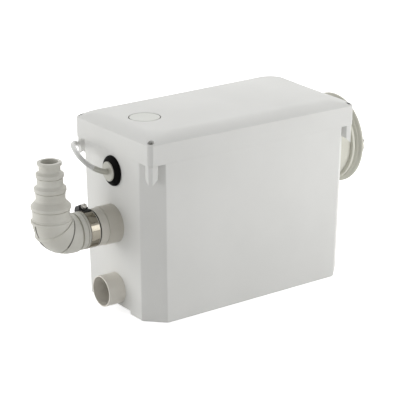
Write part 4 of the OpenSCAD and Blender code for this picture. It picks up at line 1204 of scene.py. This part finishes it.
@dataclass
class EndFittings(Assembly):
    """Socket and valve collar of the discharge, and the low inlet's spigot."""

    steps: int = 128

    # Profiles as radius, distance from the wall and rounding
    SOCKET = ((22.2, -9, 0), (29.5, -9, 0.5), (29.5, -6.2, 0.5), (25.5, -6.2, 0), (25.5, 19.3, 1.0),
              (22.2, 19.3, 0))
    VALVE = ((7.5, -32, 0), (9.9, -32, 0.4), (9.9, -16, 1), (22, -8, 0.5), (22, 19.45, 0), (24.6, 19.45, 0.5),
             (24.6, 30.9, 0.7), (20.4, 30.9, 0), (20.4, 55.9, 0.4), (17.4, 55.9, 0.4), (17.4, 24, 0),
             (12.5, 24, 0.3), (12.5, -8, 1), (7.5, -16, 1))
    SPOUT = ((19.2, -6.093, 0), (20.9, -6.093, 0), (20.9, 22, 0.6), (19.2, 22, 0.5))
    # Name, node, axis, profile, bends in a rounding, and finish
    PIECES = (("discharge_socket", "outlet_socket", OUTLET, SOCKET, 5, TRIM),
              ("valve_collar", "valve_body", OUTLET, VALVE, 5, COLLAR),
              ("waste_spigot", "inlet_spigot", LOW_INLET, SPOUT, 4, SPIGOT))

    def build(self) -> None:
        """Builds the turned fittings of the discharge end and dresses them."""
        for name, node, axis, profile, bends, finish in self.PIECES:
            piece = shaded(axis.lathe(name, profile, self.steps, bends))
            self.shop.fit(piece, "tank_group", "trim", finish, node)


@dataclass
class HoseClamp(Assembly):
    """A worm-drive clamp: a slotted band, a housing and its screw."""

    name: str
    axis: Axis
    inner_r: float
    width: float
    low_h: float
    turn: float
    housing_w: float
    group: str
    screw_group: str
    housing_finish: Finish
    housing_slot: str
    thickness: float = 0.8
    worm_r: float = 2.8
    worm_lift: float = 3.8
    pitch: float = 1.3
    slots: int = 16
    half: float = 7.0
    head_l: float = 4.1
    # The housing's sections from its end inwards, as share of its half length and scale of its arch
    ends: tuple[Vec2, ...] = ((1.0, 0.94), (0.93, 1.0))
    # First and last degree of the saddle plate, counted from the housing; along the band its dark finish is
    # painted shade and reflection
    saddle_and_shade: Vec2 = (0.0, 0.0)

    # A slot's share of the band's width, its width and depth, and its lean in radians
    SLOT_SHARE, SLOT_W, SLOT_DEPTH, SLANT = 0.62, 1.1, 0.06, (0.16, 0.0, 0.0)
    # Degrees from the housing to the first slot, and from slot to slot on a band of 1 mm radius
    SLOT_START, SLOT_STEP = 22.0, 125.0

    def outer_r(self) -> float:
        """Outer radius of the band."""
        return self.inner_r + self.thickness

    def at_housing(self) -> Axis:
        """Axis whose up points out through the housing, at the middle of the band."""
        up = self.axis.at(1, math.radians(self.turn), 0) - self.axis.foot
        return Axis(self.axis.moved(self.low_h + self.width / 2).foot, self.axis.out, up)

    def worm_axis(self) -> Axis:
        """Finds the axis of the screw.

        Returns:
            The axis, towards the screw's head.
        """
        place = self.at_housing()
        foot = place.foot + place.up * (self.outer_r() + self.worm_lift)
        return Axis(foot, -place.out.cross(place.up), place.up)

    def band(self) -> Thing:
        """Builds the band, with rolled edges.

        Returns:
            The new object.
        """
        r1, r2, h1, h2 = self.inner_r, self.outer_r(), self.low_h, self.low_h + self.width
        line = [(r1, h1, 0.2), (r2, h1, 0.3), (r2, h2, 0.3), (r1, h2, 0.2)]
        return shaded(self.axis.lathe(self.name + "_band_ring", line, 160, 3))

    def slot_tree(self, sizes: Iterable[str]) -> Tree:
        """The node tree that repeats slanted slots along an arc of the band.

        Args:
            sizes: Names of its lengths and angles.

        Returns:
            The group.
        """
        takes = {"Host": "Geometry", "Count": "Int", **dict.fromkeys(sizes, "Float"), "Shadow": "Material"}
        graph, given = Graph.group(self.name + "_slot_nodes", "Geometry", takes, {"Slots": "Geometry"})
        step = graph.math("MULTIPLY", graph.out("GeometryNodeInputIndex"), given["Step Angle"])
        angle = graph.math("ADD", given["First Angle"], step)
        x, y = (graph.math("MULTIPLY", given["Band Radius"], graph.math(way, angle))
                for way in ("COSINE", "SINE"))
        points = graph.out("GeometryNodePoints", {"Count": given["Count"], "Position": graph.xyz(X=x, Y=y)})
        size = graph.xyz(X=given["Slot Depth"], Y=given["Slot Width"], Z=given["Slot Length"])
        slant = graph.out("FunctionNodeEulerToRotation", {0: self.SLANT})
        bar = graph.shifted(graph.out("GeometryNodeMeshCube", {"Size": size}), Rotation=slant)
        return graph.repeat(points, bar, graph.xyz(Z=angle), given["Shadow"])

    def slot_row(self) -> Thing:
        """Sets the row of slots behind the housing.

        Returns:
            All slots as one mesh.
        """
        sizes = {"Band Radius": self.outer_r(), "Slot Length": self.width * self.SLOT_SHARE,
                 "Slot Width": self.SLOT_W, "Slot Depth": self.SLOT_DEPTH,
                 "First Angle": math.radians(self.turn + self.SLOT_START),
                 "Step Angle": math.radians(self.SLOT_STEP / self.inner_r)}
        row = grown(self.name + "_band_slots", [Vector((0, 0, 0))], self.slot_tree(sizes),
                    {"Count": self.slots, **sizes}, self.shop.book.material(SLOT))
        row.data.transform(self.axis.moved(self.low_h + self.width / 2).matrix())
        return row

    def housing(self) -> Thing:
        """Builds the pressed housing: an arch over the screw, on its saddle plate if it has one, whose dark
        finish along the band is painted shade and reflection.

        Returns:
            The new object.
        """
        place = self.at_housing()
        r, w = self.outer_r() + 0.15, self.housing_w / 2
        k = min(1.0, w / 6.5)
        half = [(r, w, 0.3), (r + 1.6, w, 0.5),
                (r + 5.2, w - 1.4 * k, 2.2 * k), (r + 7, w - 3.2 * k, 2.0 * k)]
        line = fillet_line([*((x, -h, b) for x, h, b in half), *reversed(half)], True, 4)
        side = place.out.cross(place.up) * self.half
        stations = [(-f, s) for f, s in self.ends] + list(reversed(self.ends))
        rings = [[place.foot + place.up * (r + (x - r) * s) + place.out * (h * s) + side * f for x, h in line]
                 for f, s in stations]
        body = loft(self.name + "_worm_housing", rings)
        carved(body, [self.worm_axis().rod(self.worm_r + 0.1, -12, 12, 40)])
        # The saddle plate's dark finish along the band is painted shade and reflection
        if self.saddle_and_shade[1] > self.saddle_and_shade[0]:
            joined(body, [self.saddle_and_shade_plate()])
        return shaded(body, 35)

    def saddle_and_shade_plate(self) -> Thing:
        """Builds the plate under the housing that follows the band, thin at both ends; its dark finish paints
        the shade and dark reflection on the band there.

        Returns:
            The new object.
        """
        r, low, high = self.outer_r() + 0.05, self.low_h + 0.5, self.low_h + self.width - 0.5
        first, last = (math.radians(self.turn + a) for a in self.saddle_and_shade)
        rings = []
        for k in range(25):
            f = k / 24
            top = r + 1.2 * min(1.0, 0.2 + 8 * min(f, 1 - f))
            section = ((r, low), (top, low), (top, high), (r, high))
            rings.append([self.axis.at(x, first + (last - first) * f, h) for x, h in section])
        return loft("saddle_and_shade", rings)

    def screw(self) -> Thing:
        """Builds the worm screw: thread, collar and a slotted six-sided head.

        Returns:
            The new object.
        """
        along, w, e = self.worm_axis(), self.worm_r, self.half
        tip = e + 0.9 + self.head_l
        thread: list[Corner] = [(0, -e - 2, 0), (w - 0.6, -e - 2, 0)]
        for k in range(int((2 * e + 1.6) / self.pitch)):
            h = self.pitch * k - e - 1.6
            thread += [(w - 0.5, h, 0), (w, h + 0.5, 0.1), (w - 0.5, h + 1.0, 0)]
        thread += [(w - 0.4, e + 0.2, 0), (w + 0.9, e + 0.35, 0.1), (w + 0.9, e + 1, 0.1), (w, e + 1.2, 0),
                   (0, e + 1.2, 0)]
        screw = along.lathe(self.name + "_worm_screw", thread, 40, 2, True)
        head = along.turned("head", [(0, e + 0.9), (w + 0.75, e + 0.9), (w + 0.9, e + 1.2),
                                     (w + 0.9, tip - 0.5), (w + 0.3, tip), (0, tip)], 6, True)
        slot = rounded_box("cut", along, (-5, 5), (-0.5, 0.5), (tip - 1.2, tip + 1), 0.1)
        return shaded(joined(screw, [carved(head, [slot])]), 30)

    def build(self) -> None:
        """Builds the clamp and dresses it."""
        node = self.name + "_clamp_"
        self.shop.fit(self.band(), self.group, "steel", STEEL, node + "band")
        self.shop.fit(self.slot_row(), self.group, "dark_steel", SLOT)
        self.shop.fit(self.housing(), self.group, self.housing_slot, self.housing_finish, node + "housing")
        self.shop.fit(self.screw(), self.screw_group, "steel", BRIGHT, node + "screw")


# WC sleeve and mains lead


@dataclass
class WcSleeve(Assembly):
    """The rubber gaiter of the WC inlet."""

    bore: float = 50.0
    band_a: float = 54.0
    band_b: float = 58.0
    flange: float = 63.5
    length: float = 48.5

    def build(self) -> None:
        """Builds the gaiter and dresses it."""
        w, a, b, f, end = self.bore, self.band_a, self.band_b, self.flange, self.length
        line = [(w + 0.2, 2, 0), (a, 2, 1.0), (a, 24.2, 0.6), (a - 0.7, 24.2, 0.3), (a - 0.7, 25.2, 0.3),
                (b, 25.4, 1.0), (b, 29.8, 1.0), (b - 1.4, 29.8, 0.3), (b - 1.4, 30.6, 0.3), (60.4, 33.2, 0.5),
                (59.4, 33.8, 0.2), (59.4, 34.5, 0.2), (f - 0.6, 37, 1.2), (f, 38.2, 0.6), (f, 40, 0.6),
                (w + 3.5, 40, 0.6), (w + 3.5, end - 1.6, 0.5), (w + 1.9, end, 0.5), (w, end, 0.6),
                (w, 27.5, 0.5), (w - 4, 27.5, 1.0), (w - 4, 23, 1.0), (w + 0.2, 22.4, 0.4)]
        gaiter = shaded(WC_INLET.lathe("wc_gaiter_rubber", line, 160))
        self.shop.fit(gaiter, "tank_group", "gaiter_rubber", GAITER, "wc_gaiter")


@dataclass
class MainsLead(Assembly):
    """The mains lead from the gland over the back to its tied coil, and its plug."""

    diameter: float = 6.4
    coil_x: float = 64.0
    coil_y: float = 178.0
    coil_r: float = 47.0
    turns: float = 4.0
    inmost: float = 2.25
    rise_at: float = 2.0
    coil_steps: int = 96
    pitch: float = 7.0
    low_z: float = 4.2
    plug_x: float = 141.3
    plug_z: float = 18.8
    plug_r: float = 18.5
    pin_y: float = 9.5
    length: float = 1.5

    # The lead's points from the gland to the coil, and from the coil to the plug as x and height
    ROUTE = ((-174.5, -3, 190), (-181, -3, 191.3), (-188, -3, 194.4), (-195.5, -2.4, 198.8),
             (-202.5, 1.5, 204.4), (-207, 9.5, 211.4), (-206.2, 22, 216.6), (-199, 40, 218.2),
             (-189.5, 55, 215.5), (-179.5, 70, 211), (-169, 85, 206), (-157, 96, 199), (-143, 102, 188),
             (-131, 105, 172), (-122, 107, 150), (-115, 108, 125), (-108, 109, 98), (-100, 111, 70),
             (-90, 114, 44), (-76, 118, 24), (-56, 123, 11), (-32, 127.5, 5.5), (-8, 130.4, 4.2),
             (12, 131, 4.2))
    TAIL = ((37, 11.2), (50, 11.6), (66, 13.2), (80, 16), (92, 18), (100, 18.8), (107, 18.8))
    # A plug pin's profile as radius, distance from the flex relief's end and rounding
    PIN = ((0, 51.1, 0), (2.4, 51.1, 0), (2.4, 75.5, 0.8), (1.4, 78, 0.8), (0, 78, 0))

    def tail_y(self) -> float:
        """Depth at which the lead leaves the coil for the plug."""
        return self.coil_y - self.coil_r + self.pitch / 2

    def coil(self) -> list[Vector]:
        """Winds the coil: in on the lower layer, up within half a turn, and out on the upper layer.

        Returns:
            Its points, in millimetres.
        """
        points = []
        inner = self.coil_r - self.inmost * self.pitch
        for i in range(self.coil_steps + 1):
            u = self.turns * i / self.coil_steps
            a = math.tau * u - math.pi / 2
            r = inner + self.pitch * abs(u - self.inmost)
            climb = min(max(u - self.rise_at, 0.0), 0.5)
            rise = (1 - math.cos(math.tau * climb)) / 2
            points.append(Vector((self.coil_x + r * math.cos(a), self.coil_y + r * math.sin(a),
                                  self.low_z + self.pitch * rise)))
        return points

    def path(self) -> list[Vector]:
        """All points of the lead from gland to plug, in millimetres."""
        last = [tank_point(x, self.tail_y(), z) for x, z in self.TAIL]
        return [tank_point(*p) for p in self.ROUTE] + self.coil() + last

    def start_line(self, spans: int, steps: int) -> list[tuple[Vector, Vector]]:
        """Follows the first spans of the flex.

        Args:
            spans: Number of spans between its points.
            steps: Number of steps in each span.

        Returns:
            Places in millimetres, each with the way that the flex runs there.
        """
        p, line = self.path(), []
        for i in range(spans):
            a, b = p[i], p[i + 1]
            first, last = a + (b - p[max(i - 1, 0)]) / 6, b - (p[i + 2] - a) / 6
            for k in range(steps + (i == spans - 1)):
                t = k / steps
                s = 1 - t
                place = a * s ** 3 + first * 3 * t * s ** 2 + last * 3 * t * t * s + b * t ** 3
                way = (first - a) * s ** 2 + (last - first) * 2 * t * s + (b - last) * t * t
                line.append((place, way.normalized()))
        return line

    def flex(self) -> Thing:
        """Draws the lead through its points.

        Returns:
            One round curve.
        """
        points = [p * MM for p in self.path()]
        curve = bpy.data.curves.new("mains_flex", "CURVE")
        curve.dimensions, curve.use_fill_caps = "3D", True
        curve.bevel_depth = self.diameter / 2 * MM
        curve.bevel_resolution = curve.resolution_u = 6
        spline = curve.splines.new("BEZIER")
        spline.bezier_points.add(len(points) - 1)
        for i, (knot, p) in enumerate(zip(spline.bezier_points, points)):
            way = (points[min(i + 1, len(points) - 1)] - points[max(i - 1, 0)]) / 6
            knot.handle_left_type = knot.handle_right_type = "FREE"
            knot.co, knot.handle_left, knot.handle_right = p, p - way, p + way
        return linked("mains_flex", curve)

    def plug_axis(self) -> Axis:
        """Axis of the plug, from its flex relief to its pins."""
        return Axis(Vector((self.plug_x, self.tail_y(), self.plug_z)), X, Z)

    def plug(self) -> Thing:
        """Builds the plug's body with its grooved flex relief and the slots of its earth clips.

        Returns:
            The new object.
        """
        axis, r = self.plug_axis(), self.plug_r
        line: list[Corner] = [(0, 0, 0), (4.6, 0, 0.4)]
        for i in range(4):
            h, low, high = 5 + 5 * i, 4.3 + 0.3 * i, 5.1 + 0.33 * i
            line += [(high, h, 0.3), (low, h + 0.2, 0.2), (low, h + 1.4, 0.2), (high + 0.1, h + 1.6, 0.3)]
        line += [(6.5, 24, 1), (9, 28, 2), (r - 3, 33, 2.5), (r, 37, 3), (r, 59, 1.2), (0, 59, 0)]
        body = axis.lathe("plug_grip", line, 96, 4, True)
        sides = ((r - 2.5, r + 3), (-r - 3, -r + 2.5))
        slots = [rounded_box("cut", axis, x, (-3.5, 3.5), (42, 62), 0.6) for x in sides]
        return shaded(carved(body, slots), 38)

    def pins(self) -> Thing:
        """Builds the two plug pins.

        Returns:
            Both as one mesh.
        """
        plug, made = self.plug_axis(), []
        for y in (-self.pin_y, self.pin_y):
            axis = Axis(plug.foot + Y * y, plug.out, plug.up)
            made.append(axis.lathe("plug_pin_pair", self.PIN, 40, 4, True))
        return shaded(joined(made[0], made[1:]))

    def tie(self) -> Thing:
        """Builds the strap round one side of the coil, with its buckle.

        Returns:
            The new object.
        """
        half = (self.pitch + self.diameter + 0.5) / 2
        strap_x = self.coil_x - self.coil_r + 1.25 * self.pitch
        place = Vector((strap_x, self.coil_y, self.low_z + self.pitch / 2))
        rings = []
        for grow, y in ((0, -2), (0.6, -2), (0.6, 2), (0, 2)):
            s, r = half + grow, 2.2 + grow
            line = fillet_line([(-s, -s, r), (s, -s, r), (s, s, r), (-s, s, r)], True, 6)
            rings.append([place + Vector((x, y, z)) for x, z in line])
        buckle = rounded_box("buckle", Axis(place, Z, X), (-half - 5.6, -half - 0.6), (-3, 3),
                             (half - 6, half), 0.7)
        return shaded(joined(loft("coil_tie", rings, closed=True), [buckle]), 38)

    def build(self) -> None:
        fit = self.shop.fit
        flex = fit(self.flex(), "tank_group", "lead", LEAD, "mains_lead", "lead_coil", "lead_tail")
        plug = fit(self.plug(), "tank_group", "plug", PLUG, "plug_body")
        pins = fit(self.pins(), "tank_group", "steel", BRIGHT, "plug_pins")
        tie = fit(self.tie(), "tank_group", "black_rubber", BLACK, "lead_tie")


@dataclass
class CableGland(Assembly):
    """The thick rubber grommet in the end wall, and the pale gland disc with the sleeve round the lead."""

    root_r: float = 3.75
    tip_r: float = 3.4
    sides: int = 40

    # Profiles as radius, distance from the wall and rounding
    GROMMET = ((6.1, -8, 0), (16, -8, 0.5), (16, -5, 0.5), (14, -5, 0), (14, 0.05, 0), (20, 0.05, 0.2),
               (20, 1.6, 1.2), (18.4, 3.4, 1.5), (14.4, 6.4, 0.8), (13.1, 6.4, 0.2), (13.1, 4.9, 0),
               (6.1, 4.9, 0))
    DISC = ((0, -9.5, 0), (6, -9.5, 0.3), (6, 5, 0), (13, 5, 0.2), (13, 7.4, 0.8), (12, 8.1, 0.5),
            (0, 8.3, 0))

    def relief(self) -> Thing:
        """Builds the slim tapered sleeve over the first stretch of the lead.

        Returns:
            The new object.
        """
        line = MainsLead(self.shop).start_line(3, 6)
        rings = []
        for i, (place, way) in enumerate(line):
            f = i / (len(line) - 1)
            radius = self.root_r + (self.tip_r - self.root_r) * f if f < 1 else self.tip_r - 0.25
            axis = Axis(place, way, way.cross(Y).normalized())
            rings.append([axis.at(radius, math.tau * k / self.sides, 0) for k in range(self.sides)])
        return loft("relief", rings)

    def build(self) -> None:
        """Builds the grommet and the gland disc with its sleeve and dresses them."""
        grommet = LEAD_EXIT.lathe("lead_grommet", self.GROMMET, 96)
        self.shop.fit(shaded(grommet), "tank_group", "black_rubber", BLACK, "cable_grommet")
        disc = joined(LEAD_EXIT.lathe("gland_disc", self.DISC, 96, solid=True), [self.relief()])
        self.shop.fit(shaded(disc), "tank_group", "gland", GLAND, "cable_gland")


# Inner parts


@dataclass
class InnerWorks(Assembly):
    """The CAD pieces that stay as they are, mostly inside the tank, and their finishes."""

    deck_seat: float = 155.1
    motor_seat: float = 158.8
    motor_screw_r: float = 56.0

    # Places of the deck screws
    DECK_X, DECK_Y = (-80, 50), (-77.5, 77.5)
    # The finish of each node that keeps its CAD shape
    FINISHES = {
        "lid_seal": BLACK, "carbon_filter": CARBON, "discharge_flap": BLACK, "flap_pin": BRIGHT,
        "inlet_flap": BLACK, "inlet_flap_pin": BRIGHT, "wc_collar": TRIM, "inner_lead": LEAD,
        "motor_deck": DECK, "motor_housing": MOTOR, "motor_cap": MOTOR, "stator": IRON, "windings": COPPER,
        "rotor": IRON, "motor_shaft": BRIGHT, "bearings": BRIGHT, "shaft_seal": BLACK, "cutter_blade": BLADE,
        "basket": CAP, "pump_casing": DECK, "suction_plate": DECK, "impeller": MOTOR,
        "discharge_hose": BLACK, "hose_clips": BRIGHT, "pressure_chamber": DECK, "diaphragm": BLACK,
        "switch_cap": DECK, "switch_plunger": CAP, "micro_button": MOTOR, "microswitch": MOTOR,
        "capacitor": CAN, "capacitor_clip": DECK, "terminal_box": DECK}

    def build(self) -> None:
        """Dresses the CAD nodes and sets the inner screws."""
        for name, finish in self.FINISHES.items():
            self.shop.dress(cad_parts[name], finish)
            LOG.info("%s keeps its CAD shape in %s", name, finish.name)
        deck = [tank_point(x, y, self.deck_seat) for x in self.DECK_X for y in self.DECK_Y]
        r, turns = self.motor_screw_r, [math.pi / 4 * k for k in (1, 3, 5, 7)]
        motor = [tank_point(r * math.cos(a), r * math.sin(a), self.motor_seat) for a in turns]
        sets = ((ScrewSet("deck_screw_set", 4.0, 2.5, 2.0, 13.1), deck, "deck_screws"),
                (ScrewSet("motor_screw_set", 3.6, 2.6, 2.0, 12.8), motor, "motor_screws"))
        for screws, points, node in sets:
            made = screws.build(points, self.shop.book.material(BRIGHT))
            self.shop.fit(made, "tank_group", "steel", BRIGHT, node)


# Studio


@dataclass(frozen=True)
class Lamp:
    """A soft lamp: its place, what it points at, its width and height in metres, and its power in watts."""

    name: str
    place: Corner
    target: Corner
    size: Vec2
    power: float

    def add(self) -> None:
        """Adds the lamp to the scene."""
        data = bpy.data.lights.new(self.name, "AREA")
        data.shape, data.energy = "RECTANGLE", self.power
        data.size, data.size_y = self.size
        turn = (Vector(self.target) - Vector(self.place)).to_track_quat("-Z", "Y").to_matrix().to_4x4()
        linked(self.name, data).matrix_world = Matrix.Translation(Vector(self.place)) @ turn


@dataclass
class Studio:
    """White floor, soft light and the camera."""

    eye: Corner = (-1.10120, -1.53286, 0.76393)
    back: Corner = (-0.55472, -0.76738, 0.32156)
    lens: float = 133.62
    floor_half: float = 15.0
    floor_drop: float = 0.0002
    floor_grey: float = 0.86
    floor_glow: float = 0.7
    world_light: float = 0.35

    LAMPS = (Lamp("key", (1.05, -0.8, 0.42), (0.1, -0.05, 0.13), (0.5, 0.5), 6.1),
             Lamp("strip", (0.92, -1.42, 0.56), (-0.1, -0.05, 0.13), (0.6, 0.9), 4.4),
             Lamp("left", (-1.55, 0.7, 0.47), (-0.1, 0.0, 0.13), (2.8, 0.9), 17),
             Lamp("back_top", (0.7, 0.95, 1.5), (0.03, 0.0, 0.2), (1.1, 1.1), 16.8))
    WHITE = (1, 1, 1, 1)

    def camera(self) -> None:
        """Sets the camera."""
        data = bpy.data.cameras.new("camera")
        data.lens, data.sensor_width, data.clip_end = self.lens, 36.0, 100.0
        data.sensor_fit = "HORIZONTAL"
        back = Vector(self.back).normalized()
        right = Z.cross(back).normalized()
        turn = Matrix((right, back.cross(right), back)).transposed().to_4x4()
        thing = linked("camera", data)
        thing.matrix_world = Matrix.Translation(Vector(self.eye)) @ turn
        bpy.context.scene.camera = thing

    @staticmethod
    def seen(graph: Graph) -> Socket:
        """Tells looks from light.

        Args:
            graph: The graph of the floor or the world.

        Returns:
            1 where the camera, a mirror or glass looks, 0 for light on the object.
        """
        path = graph.add("ShaderNodeLightPath").outputs
        glossy = graph.math("MAXIMUM", path["Is Glossy Ray"], path["Is Transmission Ray"])
        return graph.math("MAXIMUM", path["Is Camera Ray"], glossy)

    def floor(self) -> None:
        """A pale floor that looks white where no shadow falls."""
        bm = bmesh.new()
        bmesh.ops.create_grid(bm, x_segments=1, y_segments=1, size=self.floor_half)
        thing = mesh_object("floor", bm)
        thing.location.z = -self.floor_drop
        paint = bpy.data.materials.new("floor_paint")
        graph = Graph.cleared(paint)
        matte = graph.out("ShaderNodeBsdfDiffuse", {"Color": (*(self.floor_grey,) * 3, 1)})
        strength = graph.math("MULTIPLY", self.seen(graph), self.floor_glow)
        glow = graph.out("ShaderNodeEmission", {"Color": self.WHITE, "Strength": strength})
        both = graph.out("ShaderNodeAddShader", {0: matte, 1: glow})
        graph.add("ShaderNodeOutputMaterial", {"Surface": both})
        thing.data.materials.append(paint)

    def world(self) -> None:
        """A white surround, softer as light than it looks."""
        world = bpy.context.scene.world = bpy.data.worlds.new("surround")
        graph = Graph.cleared(world)
        strength = graph.out("ShaderNodeMapRange", {"Value": self.seen(graph), "To Min": self.world_light,
                                                    "To Max": 1.0})
        glow = graph.out("ShaderNodeBackground", {"Color": self.WHITE, "Strength": strength})
        graph.add("ShaderNodeOutputWorld", {"Surface": glow})

    def build(self) -> None:
        """Sets up the whole studio."""
        self.camera()
        self.world()
        self.floor()
        for lamp in self.LAMPS:
            lamp.add()
        bpy.context.scene.view_settings.view_transform = "Standard"


def main() -> None:
    """Builds every sub-assembly in order and logs the pieces built."""
    logging.basicConfig(level=logging.INFO, format="%(name)s: %(message)s")
    shop = Workshop()
    elbow_clamp = HoseClamp(
        shop, "elbow", OUTLET, inner_r=24.1, width=12.5, low_h=33.4, turn=26.0, housing_w=13.1,
        group="elbow_group", screw_group="elbow_screw_part", housing_finish=DARK, housing_slot="dark_steel",
        saddle_and_shade=(-38.0, 24.0))
    wc_clamp = HoseClamp(
        shop, "wc", WC_INLET, inner_r=53.6, width=6.0, low_h=40.2, turn=90.0, housing_w=5.6,
        group="tank_group", screw_group="wc_screw_part", housing_finish=BRIGHT, housing_slot="steel",
        worm_r=1.9, slots=22, half=5.2, head_l=2.6,
        ends=((1.0, 0.6), (0.85, 0.82), (0.6, 0.96), (0.35, 1.0)))
    for part in (Studio(), MainsLead(shop), Tank(shop), Lid(shop), EndFittings(shop), Elbow(shop),
                 elbow_clamp, WcSleeve(shop), wc_clamp, CableGland(shop), InnerWorks(shop)):
        part.build()
    LOG.info("%d pieces built", len(shop.pieces))


if __name__ == "__main__":
    main()
